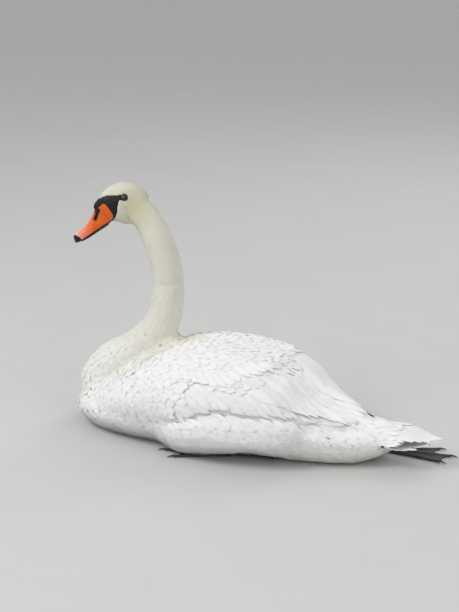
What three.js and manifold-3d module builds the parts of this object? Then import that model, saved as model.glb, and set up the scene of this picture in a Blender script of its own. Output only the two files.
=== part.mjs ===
// A mute swan at rest on its belly, life size: a long S of neck, folded wings that meet over the back,
// a wedge of tail, the left foot drawn up under the flank and the right foot stretched back past the tail.
// Millimetres. The bird faces -X, +Y is its right side, +Z is up and the floor is Z = 0.

import * as THREE from "three";
import { mergeVertices } from "three/addons/utils/BufferGeometryUtils.js";
import Module from "manifold-3d";

const wasm = await Module();
wasm.setup();

// ---------------------------------------------------------------- driving dimensions

const GAP = 0.3; // clearance between neighbouring pieces
const WIDE_GAP = 0.9; // the same where a long slope meets its neighbour
const SLACK = 0.1; // how far a surface may move where a cut's needless corners are dropped
const FLOOR = 0; // height of the flats that the bird rests on
const LEFT = -1; // side of the body, as a sign of Y
const RIGHT = 1;

const BREAST_X = -371; // foremost point of the breast
const VENT_X = 306; // hindmost point of the under-tail coverts
const WING_FRONT_X = -300; // where the folded wing comes out of the side of the breast
const WING_BACK_X = 246; // tips of the flight feathers
const TAIL_ROOT_X = 236;
const TAIL_TIP_X = 384;

const HEAD_PLACE = new THREE.Vector3(-262, 0, 440); // middle of the skull
const HEAD_TURN = 24; // degrees that the bill is turned towards the bird's left
const BILL_DROP = 41.7; // degrees that the bill points below the level
const EYE_RADIUS = 5.6;

const LEFT_SHANK = 84; // bare leg from the toes' root to the heel joint
const RIGHT_SHANK = 42; // as much of the right one as shows behind the plumage

const NECK_CUTS = [0.36, 0.66]; // shares of the neck's length where its three lengths meet

// ---------------------------------------------------------------- small tools

const { clamp, degToRad, lerp } = THREE.MathUtils;

// A closed geometry as a solid.
function solidOf(geometry) {
  const bare = geometry.clone();
  bare.deleteAttribute("normal");
  bare.deleteAttribute("uv");
  const merged = mergeVertices(bare, 1e-4);
  return new wasm.Manifold(
    new wasm.Mesh({
      numProp: 3,
      vertProperties: new Float32Array(merged.attributes.position.array),
      triVerts: new Uint32Array(merged.index.array),
    }),
  );
}

// A solid as a geometry.
function geometryOf(solid) {
  const { vertProperties, triVerts, numProp } = solid.simplify(SLACK).getMesh();
  const places = new Float32Array((vertProperties.length / numProp) * 3);
  for (let i = 0; i < places.length / 3; i++) {
    places.set(vertProperties.subarray(i * numProp, i * numProp + 3), i * 3);
  }
  const geometry = new THREE.BufferGeometry();
  geometry.setAttribute("position", new THREE.BufferAttribute(places, 3));
  geometry.setIndex(new THREE.BufferAttribute(new Uint32Array(triVerts), 1));
  geometry.computeVertexNormals();
  return geometry;
}

// The piece of a cut solid that holds most of it, without the slivers that a cut can leave.
function mainPiece(solid) {
  return solid.decompose().reduce((a, b) => (b.volume() > a.volume() ? b : a));
}

// A solid moved from a group's frame to that of the group's parent, or back.
function outOf(group, solid) {
  group.updateMatrix();
  return solid.transform(group.matrix.elements);
}

function into(group, solid) {
  group.updateMatrix();
  return solid.transform(group.matrix.clone().invert().elements);
}

// A smooth curve through [place, value] stations that never swings past them.
function profile(stations) {
  const places = stations.map(([place]) => place);
  const values = stations.map(([, value]) => value);
  const rises = places.slice(1).map((p, i) => (values[i + 1] - values[i]) / (p - places[i]));
  const slopes = places.map((_, i) => {
    const before = rises[i - 1] ?? rises[i];
    const after = rises[i] ?? rises[i - 1];
    return before * after > 0 ? (2 * before * after) / (before + after) : 0;
  });
  return (at) => {
    const last = places.length - 2;
    const i = clamp(places.findIndex((place) => place > at) - 1, 0, last);
    const k = at >= places[last + 1] ? last : i;
    const span = places[k + 1] - places[k];
    const t = clamp((at - places[k]) / span, 0, 1);
    const [a, b] = [values[k], values[k + 1]];
    const [m, n] = [slopes[k] * span, slopes[k + 1] * span];
    return (
      a * (1 + 2 * t) * (1 - t) ** 2 + b * t * t * (3 - 2 * t) + m * t * (1 - t) ** 2 + n * t * t * (t - 1)
    );
  };
}

// The sine or cosine of a section's angle, pushed towards a square corner as power passes 2.
function squared(value, power) {
  return Math.sign(value) * Math.abs(value) ** (2 / power);
}

// A closed skin from pole to pole. place(share, across, height) gives the point for a share of the way
// along and a direction round the section: across runs -1 to 1 over the width and height -1 to 1.
function skin(sides, rings, place) {
  const geometry = new THREE.SphereGeometry(1, sides, rings);
  const position = geometry.getAttribute("position");
  const at = new THREE.Vector3();
  for (let i = 0; i < position.count; i++) {
    at.fromBufferAttribute(position, i);
    const share = Math.acos(clamp(-at.y, -1, 1)) / Math.PI;
    const reach = Math.hypot(at.x, at.z) || 1;
    const [across, up] = [at.x / reach, at.z / reach].map((part) => Math.round(part * 1e6) / 1e6);
    const point = place(share, across, up);
    position.setXYZ(i, point.x, point.y, point.z);
  }
  return solidOf(geometry);
}

// How far along a body of the given length a share from pole to pole lies, so that its ends are round.
function along(from, to, share) {
  return lerp(from, to, (1 - Math.cos(Math.PI * share)) / 2);
}

// The opposite: the share at which a body that runs from one place to another reaches a place.
function shareAt(from, to, at) {
  return Math.acos(clamp(1 - (2 * (at - from)) / (to - from), -1, 1)) / Math.PI;
}

// A size along a body, from stations in the body's own X, with the ends closed at the poles.
function sizeAlong(from, to, stations, atPoles = 0) {
  const inside = stations.map(([x, size]) => [shareAt(from, to, x), size]);
  return profile([[0, atPoles], ...inside, [1, atPoles]]);
}

// ---------------------------------------------------------------- trunk

const TRUNK = {
  // X, height of the back's middle line above the floor
  top: [
    [-350, 60], [-326, 72], [-299, 82], [-254, 102], [-209, 127], [-170, 147], [-96, 174], [-32, 178],
    [30, 160], [82, 130], [110, 107], [149, 86], [178, 77], [219, 73], [264, 71], [295, 62],
  ],
  // X, half of the width at the waist
  wide: [
    [-360, 46], [-335, 78], [-300, 104], [-250, 126], [-200, 138], [-100, 147], [0, 147], [80, 135],
    [150, 110], [220, 80], [270, 54], [296, 30],
  ],
  waist: profile([[BREAST_X, 42], [-300, 58], [-200, 70], [0, 76], [150, 56], [230, 46], [VENT_X, 48]]),
  keel: profile([
    [BREAST_X, 30], [-345, 4], [-310, -9], [-200, -12], [150, -12], [215, -9], [252, 4], [VENT_X, 40],
  ]),
  roundness: 2.1, // of the upper half of the section
  belly: 2.15, // of the lower half
};

function trunkSolid(grow = 0) {
  const { waist, keel, roundness, belly } = TRUNK;
  const height = sizeAlong(BREAST_X, VENT_X, TRUNK.top.map(([x, z]) => [x, z - waist(x)]));
  const wide = sizeAlong(BREAST_X, VENT_X, TRUNK.wide);
  const depth = sizeAlong(BREAST_X, VENT_X, TRUNK.top.map(([x]) => [x, waist(x) - keel(x)]));
  return skin(26, 22, (share, across, up) => {
    const x = along(BREAST_X - grow, VENT_X + grow, share);
    const power = up > 0 ? roundness : belly;
    const reach = (up > 0 ? height(share) : depth(share)) + grow;
    const z = waist(x) + reach * squared(up, power);
    return new THREE.Vector3(x, -(wide(share) + grow) * squared(across, power), Math.max(z, FLOOR - grow));
  });
}

// ---------------------------------------------------------------- wings

const WING = {
  // X, height of the ridge that each folded wing makes beside the back's middle line
  ridge: [
    [-285, 96], [-254, 118], [-209, 150], [-180, 169], [-140, 188], [-96, 196], [-46, 198], [0, 193],
    [30, 187], [60, 180], [84, 167], [110, 143], [133, 121], [155, 106], [190, 95], [225, 84],
  ],
  wide: [
    [-285, 112], [-250, 134], [-200, 150], [-100, 163], [0, 163], [80, 148], [155, 104], [190, 78], [220, 56],
  ],
  waist: profile([[WING_FRONT_X, 62], [-200, 76], [0, 88], [120, 74], [WING_BACK_X, 58]]),
  depth: 96,
  roundness: 2.3,
  groove: profile([[-120, 0], [-40, 4], [40, 15], [120, 15], [200, 5]]), // how far the middle line dips
  grooveHalf: 26, // half-width of that dip
  midGap: 0.6, // from the middle line to each wing
};

// The rounded form that both wings' outer faces lie on.
function wingForm(grow = 0) {
  const { waist, depth, roundness, groove, grooveHalf } = WING;
  const height = sizeAlong(WING_FRONT_X, WING_BACK_X, WING.ridge.map(([x, z]) => [x, z - waist(x)]));
  const wide = sizeAlong(WING_FRONT_X, WING_BACK_X, WING.wide);
  return skin(26, 20, (share, across, up) => {
    const x = along(WING_FRONT_X - grow, WING_BACK_X + grow, share);
    const y = -(wide(share) + grow) * squared(across, roundness);
    const reach = up > 0 ? height(share) : depth * Math.sin(Math.PI * share) ** 0.5;
    const dip = up > 0 ? groove(x) * Math.exp(-((y / grooveHalf) ** 2)) : 0;
    const z = waist(x) + (reach + grow) * squared(up, roundness) - dip;
    return new THREE.Vector3(x, y, z);
  });
}

// The folded wing's outline from the side, wide of the form above so that only its lower edge, front and
// tip cut the form.
function wingOutline(grow = 0) {
  const clear = 300;
  const outline = new THREE.Shape();
  outline.moveTo(-290 - 3 * grow, 84 - grow);
  outline.splineThru([
    new THREE.Vector2(-200, 76 - grow),
    new THREE.Vector2(-112, 78 - grow),
    new THREE.Vector2(-45, 97 - grow),
    new THREE.Vector2(10, 111 - grow),
    new THREE.Vector2(90, 104 - grow),
    new THREE.Vector2(160, 88 - grow),
    new THREE.Vector2(215, 70 - grow),
    new THREE.Vector2(254 + grow, 58 - grow),
  ]);
  outline.lineTo(clear, clear);
  outline.lineTo(-190 - grow, clear);
  outline.lineTo(-205 - grow, 166 + grow);
  outline.lineTo(-226 - grow, 142 + grow);
  outline.lineTo(-247 - grow, 121 + grow);
  outline.lineTo(-269 - grow, 101 + grow);
  outline.closePath();
  return outline;
}

function wingSolid(side, trunkRoom, grow = 0) {
  const reach = 220;
  const slab = new THREE.ExtrudeGeometry(wingOutline(grow), {
    depth: reach,
    bevelEnabled: false,
    curveSegments: 3,
  });
  slab.rotateX(Math.PI / 2);
  slab.translate(0, side === LEFT ? -WING.midGap + grow : reach + WING.midGap - grow, 0);
  return mainPiece(wingForm(grow).intersect(solidOf(slab)).subtract(trunkRoom));
}

// ---------------------------------------------------------------- flanks: the loose plumage over each thigh

const FLANK = {
  from: -150,
  to: 150,
  y: profile([[-150, 108], [-110, 112], [0, 112], [100, 104], [150, 96]]),
  top: [[-132, 66], [-100, 84], [-45, 101], [5, 115], [60, 113], [110, 102], [138, 84]],
  wide: [[-134, 36], [-95, 52], [0, 58], [80, 50], [130, 30]],
  waist: profile([[-150, 40], [0, 56], [150, 60]]),
  // X, height of the lowest feathers, which lie over the foot and the heel joint
  hem: profile([[-150, 12], [-120, 3], [-70, 6], [-20, 15], [40, 24], [75, 30], [110, 24], [150, 30]]),
};

function flankSolid(side, grow = 0) {
  const { from, to, waist, hem } = FLANK;
  const height = sizeAlong(from, to, FLANK.top.map(([x, z]) => [x, z - waist(x)]));
  const depth = sizeAlong(from, to, FLANK.top.map(([x]) => [x, waist(x) - hem(x)]));
  const wide = sizeAlong(from, to, FLANK.wide);
  return skin(16, 13, (share, across, up) => {
    const x = along(from, to, share);
    const reach = (up > 0 ? height(share) : depth(share)) + grow;
    const z = waist(x) + reach * squared(up, 2.2);
    const y = side * FLANK.y(x) - (wide(share) + grow) * squared(across, 2.2);
    return new THREE.Vector3(x, y, Math.max(z, FLOOR - grow));
  });
}

// ---------------------------------------------------------------- neck

const NECK = {
  line: new THREE.CatmullRomCurve3(
    [
      [-262, 34], [-312, 44], [-326, 66], [-299, 106], [-236, 156], [-190, 214], [-176, 275], [-180, 329],
      [-198, 378], [-220, 414], [-239, 441], [-252, 459],
    ].map(([x, z]) => new THREE.Vector3(x, 0, z)),
    false,
    "centripetal",
  ),
  // share of the length, half-width across the body, half-thickness from front to back
  wide: profile([
    [0, 0], [0.05, 40], [0.14, 54], [0.22, 52], [0.34, 44], [0.5, 34], [0.66, 30], [0.84, 28], [0.95, 26],
    [0.98, 20], [1, 0],
  ]),
  thick: profile([
    [0, 0], [0.05, 40], [0.14, 51], [0.22, 51], [0.34, 44], [0.5, 35], [0.66, 31], [0.84, 29], [0.94, 27],
    [0.98, 19], [1, 0],
  ]),
};

function neckSolid() {
  const side = new THREE.Vector3(0, 1, 0);
  return skin(18, 32, (share, across, up) => {
    const centre = NECK.line.getPointAt(share);
    const front = NECK.line.getTangentAt(share).cross(side);
    const z = centre
      .addScaledVector(side, -NECK.wide(share) * across)
      .addScaledVector(front, NECK.thick(share) * up);
    z.z = Math.max(z.z, FLOOR + 4);
    return z;
  });
}

// A thin disc across the neck, which parts it there.
function neckCut(share) {
  const disc = new THREE.CylinderGeometry(70, 70, GAP, 24);
  const axis = new THREE.Vector3(0, 1, 0);
  disc.applyQuaternion(new THREE.Quaternion().setFromUnitVectors(axis, NECK.line.getTangentAt(share)));
  disc.translate(...NECK.line.getPointAt(share));
  return solidOf(disc);
}

// The neck's lengths in order from the breast to the head.
function neckLengths(neck) {
  const pieces = NECK_CUTS.reduce((whole, share) => whole.subtract(neckCut(share)), neck).decompose();
  const height = (solid) => solid.boundingBox().max[2];
  return pieces
    .filter((solid) => solid.volume() > 1000)
    .sort((a, b) => height(a) - height(b));
}

// ---------------------------------------------------------------- head, in its own frame: -X is forward

const HEAD = {
  line: new THREE.CatmullRomCurve3(
    [[46, -2], [30, 3], [0, 3.5], [-28, -5], [-43, -19], [-51, -29]].map(
      ([x, z]) => new THREE.Vector3(x, 0, z),
    ),
  ),
  // share of the length, half-width and half-height
  wide: profile([
    [0, 0], [0.07, 15], [0.16, 23], [0.3, 29], [0.5, 31], [0.7, 26.5], [0.86, 19], [0.95, 14], [1, 0],
  ]),
  tall: profile([
    [0, 0], [0.08, 20], [0.18, 32], [0.32, 40], [0.48, 43], [0.66, 39], [0.8, 30], [0.9, 21], [0.96, 13],
    [1, 0],
  ]),
};

function headSolid(grow = 0) {
  const side = new THREE.Vector3(0, 1, 0);
  return skin(20, 14, (share, across, up) => {
    const crown = HEAD.line.getTangentAt(share).cross(side).negate();
    return HEAD.line
      .getPointAt(share)
      .addScaledVector(side, (HEAD.wide(share) + grow) * across)
      .addScaledVector(crown, (HEAD.tall(share) + grow) * up);
  });
}

const EYE = { x: -4.6, y: 24.4, z: 19.2 };

function eyeSolid(grow = 0) {
  return solidOf(new THREE.SphereGeometry(EYE_RADIUS + grow, 12, 8));
}

// ---------------------------------------------------------------- bill, in its own frame: -X is forward

const BILL = {
  root: 14, // how far the bill reaches back into the face
  length: 79,
  // distance forward of the face, height of the ridge and of the edge, half-width
  culmen: profile([
    [-14, 17], [0, 20], [7, 18.8], [20, 13.6], [36, 9.6], [51, 8.6], [63, 9.8], [72, 8.4], [77, 4.6],
    [79, -3],
  ]),
  gape: profile([
    [-14, -14], [-9, -16], [5, -16.6], [19, -14.2], [34, -12.8], [49, -11.2], [63, -8.4], [75, -6], [79, -3],
  ]),
  wide: profile([[-14, 15], [0, 17.5], [20, 16.5], [40, 16.2], [59, 17], [70, 14], [76, 7.5], [79, 1.5]]),
};

// The upper jaw: an arched section over a flat roof of mouth.
function upperBillSolid(grow = 0) {
  return skin(14, 13, (share, across, up) => {
    const forward = lerp(-BILL.root - grow, BILL.length + grow, share);
    const end = Math.min(1, Math.sqrt(Math.min(share, 1 - share) * 14));
    const [roof, floor] = [BILL.culmen(forward) + grow, BILL.gape(forward) - grow];
    const middle = lerp(floor, roof, 0.32);
    const reach = up > 0 ? roof - middle : middle - floor;
    const z = middle + reach * end * squared(up, up > 0 ? 2 : 5);
    return new THREE.Vector3(-forward, (BILL.wide(forward) + grow) * end * squared(across, 2.4), z);
  });
}

const JAW = { length: 73, depth: 5.5, inset: 1.6 };

// The lower jaw: a shallow tray under the upper one, a little narrower.
function lowerBillSolid() {
  return skin(10, 9, (share, across, up) => {
    const forward = lerp(-4, JAW.length, share);
    const end = Math.min(1, Math.sqrt(Math.min(share, 1 - share) * 10));
    const roof = BILL.gape(forward) + 2;
    const depth = (JAW.depth + 2) * (1 - 0.45 * share);
    const z = roof - depth / 2 + (depth / 2) * end * squared(up, 3);
    return new THREE.Vector3(-forward, (BILL.wide(forward) - JAW.inset) * end * squared(across, 2.4), z);
  });
}

const KNOB = { forward: -5.5, z: 21.4, long: 12.5, wide: 8.6, tall: 8, dip: 14 };

function knobSolid(grow = 0) {
  const ball = new THREE.SphereGeometry(1, 12, 8);
  ball.scale(KNOB.long + grow, KNOB.wide + grow, KNOB.tall + grow);
  ball.rotateY(degToRad(-KNOB.dip));
  ball.translate(-KNOB.forward, 0, KNOB.z);
  return solidOf(ball);
}

const NAIL = { forward: 72, z: -1, long: 9.2, wide: 7.4, tall: 9.4 };

function nailSolid(grow = 0) {
  const ball = new THREE.SphereGeometry(1, 10, 7);
  ball.scale(NAIL.long + grow, NAIL.wide + grow, NAIL.tall + grow);
  ball.translate(-NAIL.forward, 0, NAIL.z);
  return solidOf(ball);
}

// ---------------------------------------------------------------- tail

const TAIL = {
  wide: profile([[TAIL_ROOT_X, 34], [270, 50], [310, 60], [335, 55], [356, 34], [374, 14], [TAIL_TIP_X, 3]]),
  middle: profile([[TAIL_ROOT_X, 56], [270, 55], [310, 56], [345, 54], [TAIL_TIP_X, 62]]),
  thick: profile([[TAIL_ROOT_X, 17], [270, 19], [310, 15], [340, 8], [362, 3], [TAIL_TIP_X, 0.7]]),
  droop: 0.16, // how far the fan's edges hang, as a share of their distance from the middle
};

// A fan of feathers, thick at its root and thin at its rim.
function tailSolid() {
  const fan = new THREE.BoxGeometry(1, 1, 1, 11, 10, 1);
  const position = fan.getAttribute("position");
  for (let i = 0; i < position.count; i++) {
    const x = lerp(TAIL_ROOT_X, TAIL_TIP_X, position.getX(i) + 0.5);
    const across = 2 * position.getY(i);
    const y = TAIL.wide(x) * across;
    const rim = Math.sqrt(Math.max(1 - across ** 2, 0.004));
    const hang = TAIL.droop * Math.abs(y) * across ** 2;
    position.setXYZ(i, x, y, TAIL.middle(x) - hang + 2 * TAIL.thick(x) * rim * position.getZ(i));
  }
  return solidOf(fan);
}

// ---------------------------------------------------------------- legs and feet

const FOOT = {
  thick: 4, // of the web
  bevel: 1.2,
  toeLength: 128,
  heelHalf: 8,
  spread: 17, // degrees between two toes
  toeHalf: 4.6,
  claw: 9,
};

// The web's outline: a heel, three toes and the scalloped edge between them.
function webOutline() {
  const toe = (step, reach) => {
    const turn = degToRad(FOOT.spread * step);
    return new THREE.Vector2(-Math.cos(turn) * reach, Math.sin(turn) * reach);
  };
  const reaches = [0.84, 1, 0.9].map((share) => share * FOOT.toeLength);
  const web = new THREE.Shape();
  web.moveTo(4, -FOOT.heelHalf);
  web.lineTo(...toe(-1.25, reaches[0] * 0.5));
  reaches.forEach((reach, i) => {
    const step = i - 1;
    web.lineTo(...toe(step - 0.12, reach));
    web.lineTo(...toe(step, reach + FOOT.claw));
    web.lineTo(...toe(step + 0.12, reach));
    if (step < 1) web.lineTo(...toe(step + 0.5, reach * 0.84));
  });
  web.lineTo(...toe(1.25, reaches[2] * 0.5));
  web.lineTo(4, FOOT.heelHalf);
  web.closePath();
  return web;
}

function footSolid(grow = 0) {
  const { thick, bevel, toeLength, toeHalf, spread } = FOOT;
  const plate = new THREE.ExtrudeGeometry(webOutline(), {
    depth: thick - 2 * bevel + 2 * grow,
    bevelThickness: bevel,
    bevelSize: bevel + grow,
    bevelSegments: 1,
  });
  plate.translate(0, 0, FLOOR + bevel - grow);
  const toes = [-1, 0, 1].map((step) => {
    const turn = degToRad(spread * step);
    const middle = toeLength * 0.4;
    const toe = new THREE.CapsuleGeometry(toeHalf + grow, toeLength * 0.7, 2, 7);
    toe.rotateZ(Math.PI / 2 - turn);
    toe.scale(1, 1, 0.8);
    toe.translate(-Math.cos(turn) * middle, Math.sin(turn) * middle, FLOOR + toeHalf * 0.8 + 0.4);
    return solidOf(toe);
  });
  return toes.reduce((foot, toe) => foot.add(toe), solidOf(plate));
}

const SHANK = { half: 6.5, hock: 13.5 };

// The bare leg behind the foot, lying on the floor.
function shankSolid(length, grow = 0) {
  const bar = new THREE.CapsuleGeometry(SHANK.half + grow, length - 2 * SHANK.half, 2, 8);
  bar.rotateZ(Math.PI / 2);
  bar.scale(1, 0.8, 1);
  bar.translate(length / 2 + 3, 0, FLOOR + SHANK.half + 1);
  return solidOf(bar);
}

// The heel joint at the leg's hind end, with a little flat where it rests.
function hockSolid(length, grow = 0) {
  const hock = new THREE.SphereGeometry(SHANK.hock + grow, 12, 8);
  hock.scale(1.15, 0.75, 0.95);
  hock.translate(length, 0, FLOOR + SHANK.hock * 0.95 - 0.3);
  const cutter = new THREE.BoxGeometry(400, 200, 40);
  cutter.translate(0, 0, FLOOR - 20 - grow);
  return solidOf(hock).subtract(solidOf(cutter));
}

// ---------------------------------------------------------------- assembly

const COLOURS = {
  white: { color: 0xe9e7e1, roughness: 0.85, metalness: 0 },
  cream: { color: 0xe2dcc4, roughness: 0.85, metalness: 0 },
  orange: { color: 0xd9591a, roughness: 0.45, metalness: 0 },
  black: { color: 0x17161a, roughness: 0.5, metalness: 0 },
  eye: { color: 0x120d0a, roughness: 0.08, metalness: 0 },
  foot: { color: 0x2b2b30, roughness: 0.6, metalness: 0 },
};

function node(name, solid, colour) {
  const mesh = new THREE.Mesh(geometryOf(solid), new THREE.MeshStandardMaterial(COLOURS[colour]));
  mesh.name = name;
  return mesh;
}

// A turned place for a leg: its foot's root, and the degrees it points away from straight ahead.
function legGroup(x, y, turn) {
  const leg = new THREE.Group();
  leg.position.set(x, y, 0);
  leg.rotation.z = degToRad(turn);
  return leg;
}

const bird = new THREE.Group();

const headGroup = new THREE.Group();
headGroup.position.copy(HEAD_PLACE);
headGroup.rotation.z = degToRad(HEAD_TURN);

const billGroup = new THREE.Group();
billGroup.position.set(-46, 0, -20);
billGroup.rotation.y = degToRad(-BILL_DROP);

const leftLeg = legGroup(-5, -96, 13);
const rightLeg = legGroup(256, 44, 189);

// Legs first: the plumage that lies on them is cut to make room.
const footShape = footSolid();
const leftShank = shankSolid(LEFT_SHANK).add(hockSolid(LEFT_SHANK)).subtract(footSolid(GAP));
const rightShank = shankSolid(RIGHT_SHANK).subtract(footSolid(GAP));
const leftRoom = footSolid(GAP).add(shankSolid(LEFT_SHANK, GAP)).add(hockSolid(LEFT_SHANK, GAP));
const rightRoom = footSolid(GAP).add(shankSolid(RIGHT_SHANK, GAP));
const legRoom = outOf(leftLeg, leftRoom).add(outOf(rightLeg, rightRoom));

const trunk = mainPiece(trunkSolid().subtract(legRoom));
const trunkRoom = trunkSolid(GAP);
const tail = mainPiece(tailSolid().subtract(trunkRoom));

const wings = [LEFT, RIGHT].map((side) => wingSolid(side, trunkRoom));
const wingRooms = [LEFT, RIGHT].map((side) => wingSolid(side, trunk, WIDE_GAP));
const flanks = [LEFT, RIGHT].map((side, i) =>
  mainPiece(flankSolid(side).subtract(trunkRoom).subtract(wingRooms[i]).subtract(legRoom)),
);

const headWhole = headSolid();
const headRoom = outOf(headGroup, headSolid(WIDE_GAP));
const neck = mainPiece(
  neckSolid().subtract(trunkRoom).subtract(headRoom).subtract(wingRooms[0]).subtract(wingRooms[1]),
);
const [neckLower, neckMiddle, neckUpper] = neckLengths(neck);

const upperBill = upperBillSolid();
const upperRoom = upperBillSolid(GAP);
const lowerBill = mainPiece(lowerBillSolid().subtract(upperRoom));
const knobRoom = knobSolid(GAP);
const nailRoom = nailSolid(GAP);
const nail = mainPiece(nailSolid().intersect(upperBillSolid(0.5)));
const lowerRoom = lowerBillSolid();

const eyeRooms = [LEFT, RIGHT].map((side) => eyeSolid(GAP).translate([EYE.x, side * EYE.y, EYE.z]));
const head = eyeRooms.reduce(
  (solid, room) => solid.subtract(room),
  headWhole.subtract(outOf(billGroup, upperRoom.add(lowerRoom).add(knobRoom))),
);

billGroup.add(
  node("bill_upper", mainPiece(upperBill.subtract(knobRoom).subtract(nailRoom)), "orange"),
  node("bill_lower", mainPiece(lowerBill.subtract(nailRoom)), "black"),
  node("bill_knob", knobSolid(), "black"),
  node("bill_nail", nail, "black"),
);
headGroup.add(node("head", mainPiece(head), "cream"), billGroup);
[LEFT, RIGHT].forEach((side) => {
  const eye = node(side === LEFT ? "eye_left" : "eye_right", eyeSolid(), "eye");
  eye.position.set(EYE.x, side * EYE.y, EYE.z);
  headGroup.add(eye);
});

leftLeg.add(node("foot_left", footShape, "foot"), node("leg_left", mainPiece(leftShank), "foot"));
rightLeg.add(node("foot_right", footShape, "foot"), node("leg_right", mainPiece(rightShank), "foot"));

bird.add(
  headGroup,
  node("neck_upper", neckUpper, "cream"),
  node("neck_middle", neckMiddle, "cream"),
  node("neck_lower", neckLower, "white"),
  node("trunk", trunk, "white"),
  node("wing_left", wings[0], "white"),
  node("wing_right", wings[1], "white"),
  node("flank_left", flanks[0], "white"),
  node("flank_right", flanks[1], "white"),
  node("tail", tail, "white"),
  leftLeg,
  rightLeg,
);

// The origin is the middle of the foot of the bird's bounding box.
const box = new THREE.Box3().setFromObject(bird, true);
const middle = box.getCenter(new THREE.Vector3());
bird.position.set(-middle.x, -middle.y, -box.min.z);

const swan = new THREE.Group();
swan.add(bird);

export default swan;
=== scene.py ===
import math

import bmesh
import bpy
import numpy as np
from bpy.props import FloatProperty, FloatVectorProperty, PointerProperty
from mathutils import Matrix, Vector
from mathutils.bvhtree import BVHTree


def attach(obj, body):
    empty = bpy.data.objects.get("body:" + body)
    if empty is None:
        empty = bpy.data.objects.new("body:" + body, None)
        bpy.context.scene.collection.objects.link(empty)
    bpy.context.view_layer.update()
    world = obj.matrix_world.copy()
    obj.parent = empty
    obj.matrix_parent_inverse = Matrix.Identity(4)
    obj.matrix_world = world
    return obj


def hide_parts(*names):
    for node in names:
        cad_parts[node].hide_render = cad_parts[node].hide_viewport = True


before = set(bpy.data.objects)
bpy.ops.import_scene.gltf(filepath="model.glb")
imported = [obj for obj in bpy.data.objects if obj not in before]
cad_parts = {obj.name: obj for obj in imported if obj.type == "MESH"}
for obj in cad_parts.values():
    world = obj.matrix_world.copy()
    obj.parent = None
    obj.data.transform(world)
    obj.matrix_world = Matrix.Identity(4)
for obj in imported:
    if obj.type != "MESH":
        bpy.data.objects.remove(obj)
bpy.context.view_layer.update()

bl_info = {
    "name": "Mute swan",
    "version": (1, 0, 0),
    "blender": (4, 5, 0),
    "location": "3D View > Sidebar > Swan",
    "description": "Life-size resting mute swan: skin, plumage, bill, eyes and feet over a fixed frame",
    "category": "Object",
}

MM = 0.001
SIDES = {"left": -1.0, "right": 1.0}

FLESH = [
    "head", "neck_upper", "neck_middle", "neck_lower", "trunk",
    "wing_left", "wing_right", "flank_left", "flank_right", "tail",
]
# Node: gap between roots, feather length and width, depth of the coat, all in mm.
COATS = {
    "head": (2.4, 8.0, 3.6, 1.8),
    "neck_upper": (3.5, 14.0, 5.8, 2.6),
    "neck_middle": (4.3, 19.0, 7.4, 3.2),
    "neck_lower": (5.4, 26.0, 9.6, 4.0),
    "trunk": (7.6, 34.0, 13.0, 6.0),
    "wing_left": (8.4, 34.0, 17.0, 6.0),
    "wing_right": (8.4, 34.0, 17.0, 6.0),
    "flank_left": (7.2, 36.0, 12.0, 7.0),
    "flank_right": (7.2, 36.0, 12.0, 7.0),
    "tail": (7.4, 34.0, 12.0, 3.2),
}
LIE_BLUR = 60.0  # square mm, how softly the lie passes from one guide to the next
SKIN_DEPTH = 0.62  # share of the coat's depth that the skin lies inside the coat's surface
THICK_WALL, WALL_SHARE = 24.0, 0.36  # mm, and the most of a thinner part that the coat takes
BREAST_BACK = -130.0  # mm, the trunk's coat is breast in front of this and belly behind it

# Head and bill frames of the model, in mm.
HEAD_FRAME = Matrix.Translation((-272.995, 0, 440)) @ Matrix.Rotation(math.radians(24), 4, "Z")
BILL_FRAME = (
    HEAD_FRAME @ Matrix.Translation((-46, 0, -20)) @ Matrix.Rotation(math.radians(-41.7), 4, "Y")
)
EYE_PLACE = (-4.6, 24.4, 19.2)
EYE_RADIUS = 5.6
# Rings of the lids from the opening out and back inside: radius, height over the eye's middle.
LID_RINGS = [
    (3.85, 4.2), (3.95, 4.75), (4.4, 4.95), (5.0, 4.5), (5.6, 3.6), (6.2, 2.0), (6.3, -1.2), (5.9, -2.0),
    (5.75, 0.5),
]
LID_SEGMENTS = 40
FOLD_FILL = 9.0  # mm, half the width of the folds that the coat fills
SHELL_GRAINS = (2.8, 2.9)  # mm, sizes of the faces of the two shells round the body
NAPE = ((26.0, -8.0), (30.0, 50.0), 340.0)  # middle and reach (x, z) in the head frame, least height
FLOOR_GAP = 0.4  # mm, feathers and feet stay this far off the floor

# Bare black skin and the orange in it, from the side in the head frame: (x, z).
MASK_LINE = [
    (-80, 6), (-66, 5.5), (-58, 10), (-51, 14.8), (-43, 19.2), (-33, 21.6), (-20, 22.8), (-11, 24),
    (-7, 25), (-3, 25.2), (0.6, 22.8), (1.6, 19), (0.2, 15), (-4, 13.4), (-9, 14.4), (-13.2, 14.8), (-16, 11),
    (-17.6, 5), (-18.8, -3), (-20, -11), (-22, -18), (-25.5, -25.5), (-30, -31.5), (-38, -37),
    (-60, -62), (-130, -110), (-150, 0),
]
PATCH_LINE = [
    (-62, -14), (-57.5, -6.5), (-54, -2.6), (-50.3, 0.9), (-47.2, 4.1), (-44, 5.8), (-39.4, 3.2),
    (-34.5, -2.3), (-30.4, -8.8), (-27.4, -15), (-26.6, -20), (-29, -25.5), (-34, -31), (-44, -37.5),
    (-70, -58), (-110, -90), (-130, -70), (-110, -30),
]
# Lower edge of the orange in the bill frame: (x, z).
BILL_HEM = [(-66, -6), (-52, -8), (-41, -9.5), (-30, -11), (-19.5, -13), (-8.5, -14.4), (2, -16), (12, -17)]
NOSTRIL = ((1.0, 14.6), (-15.5, 6.2), 3.1, 2.8)
NAIL = (-74.0, -2.0, 12.5)  # middle (x, z) and radius of the black tip in the bill frame
KNOB = ((8.0, 0.0, 24.0), 15.0)  # middle and radius of the black knob in the bill frame
PATCH_FRONT = -14.0  # mm in the bill frame, all of the side is orange in front of this

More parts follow.
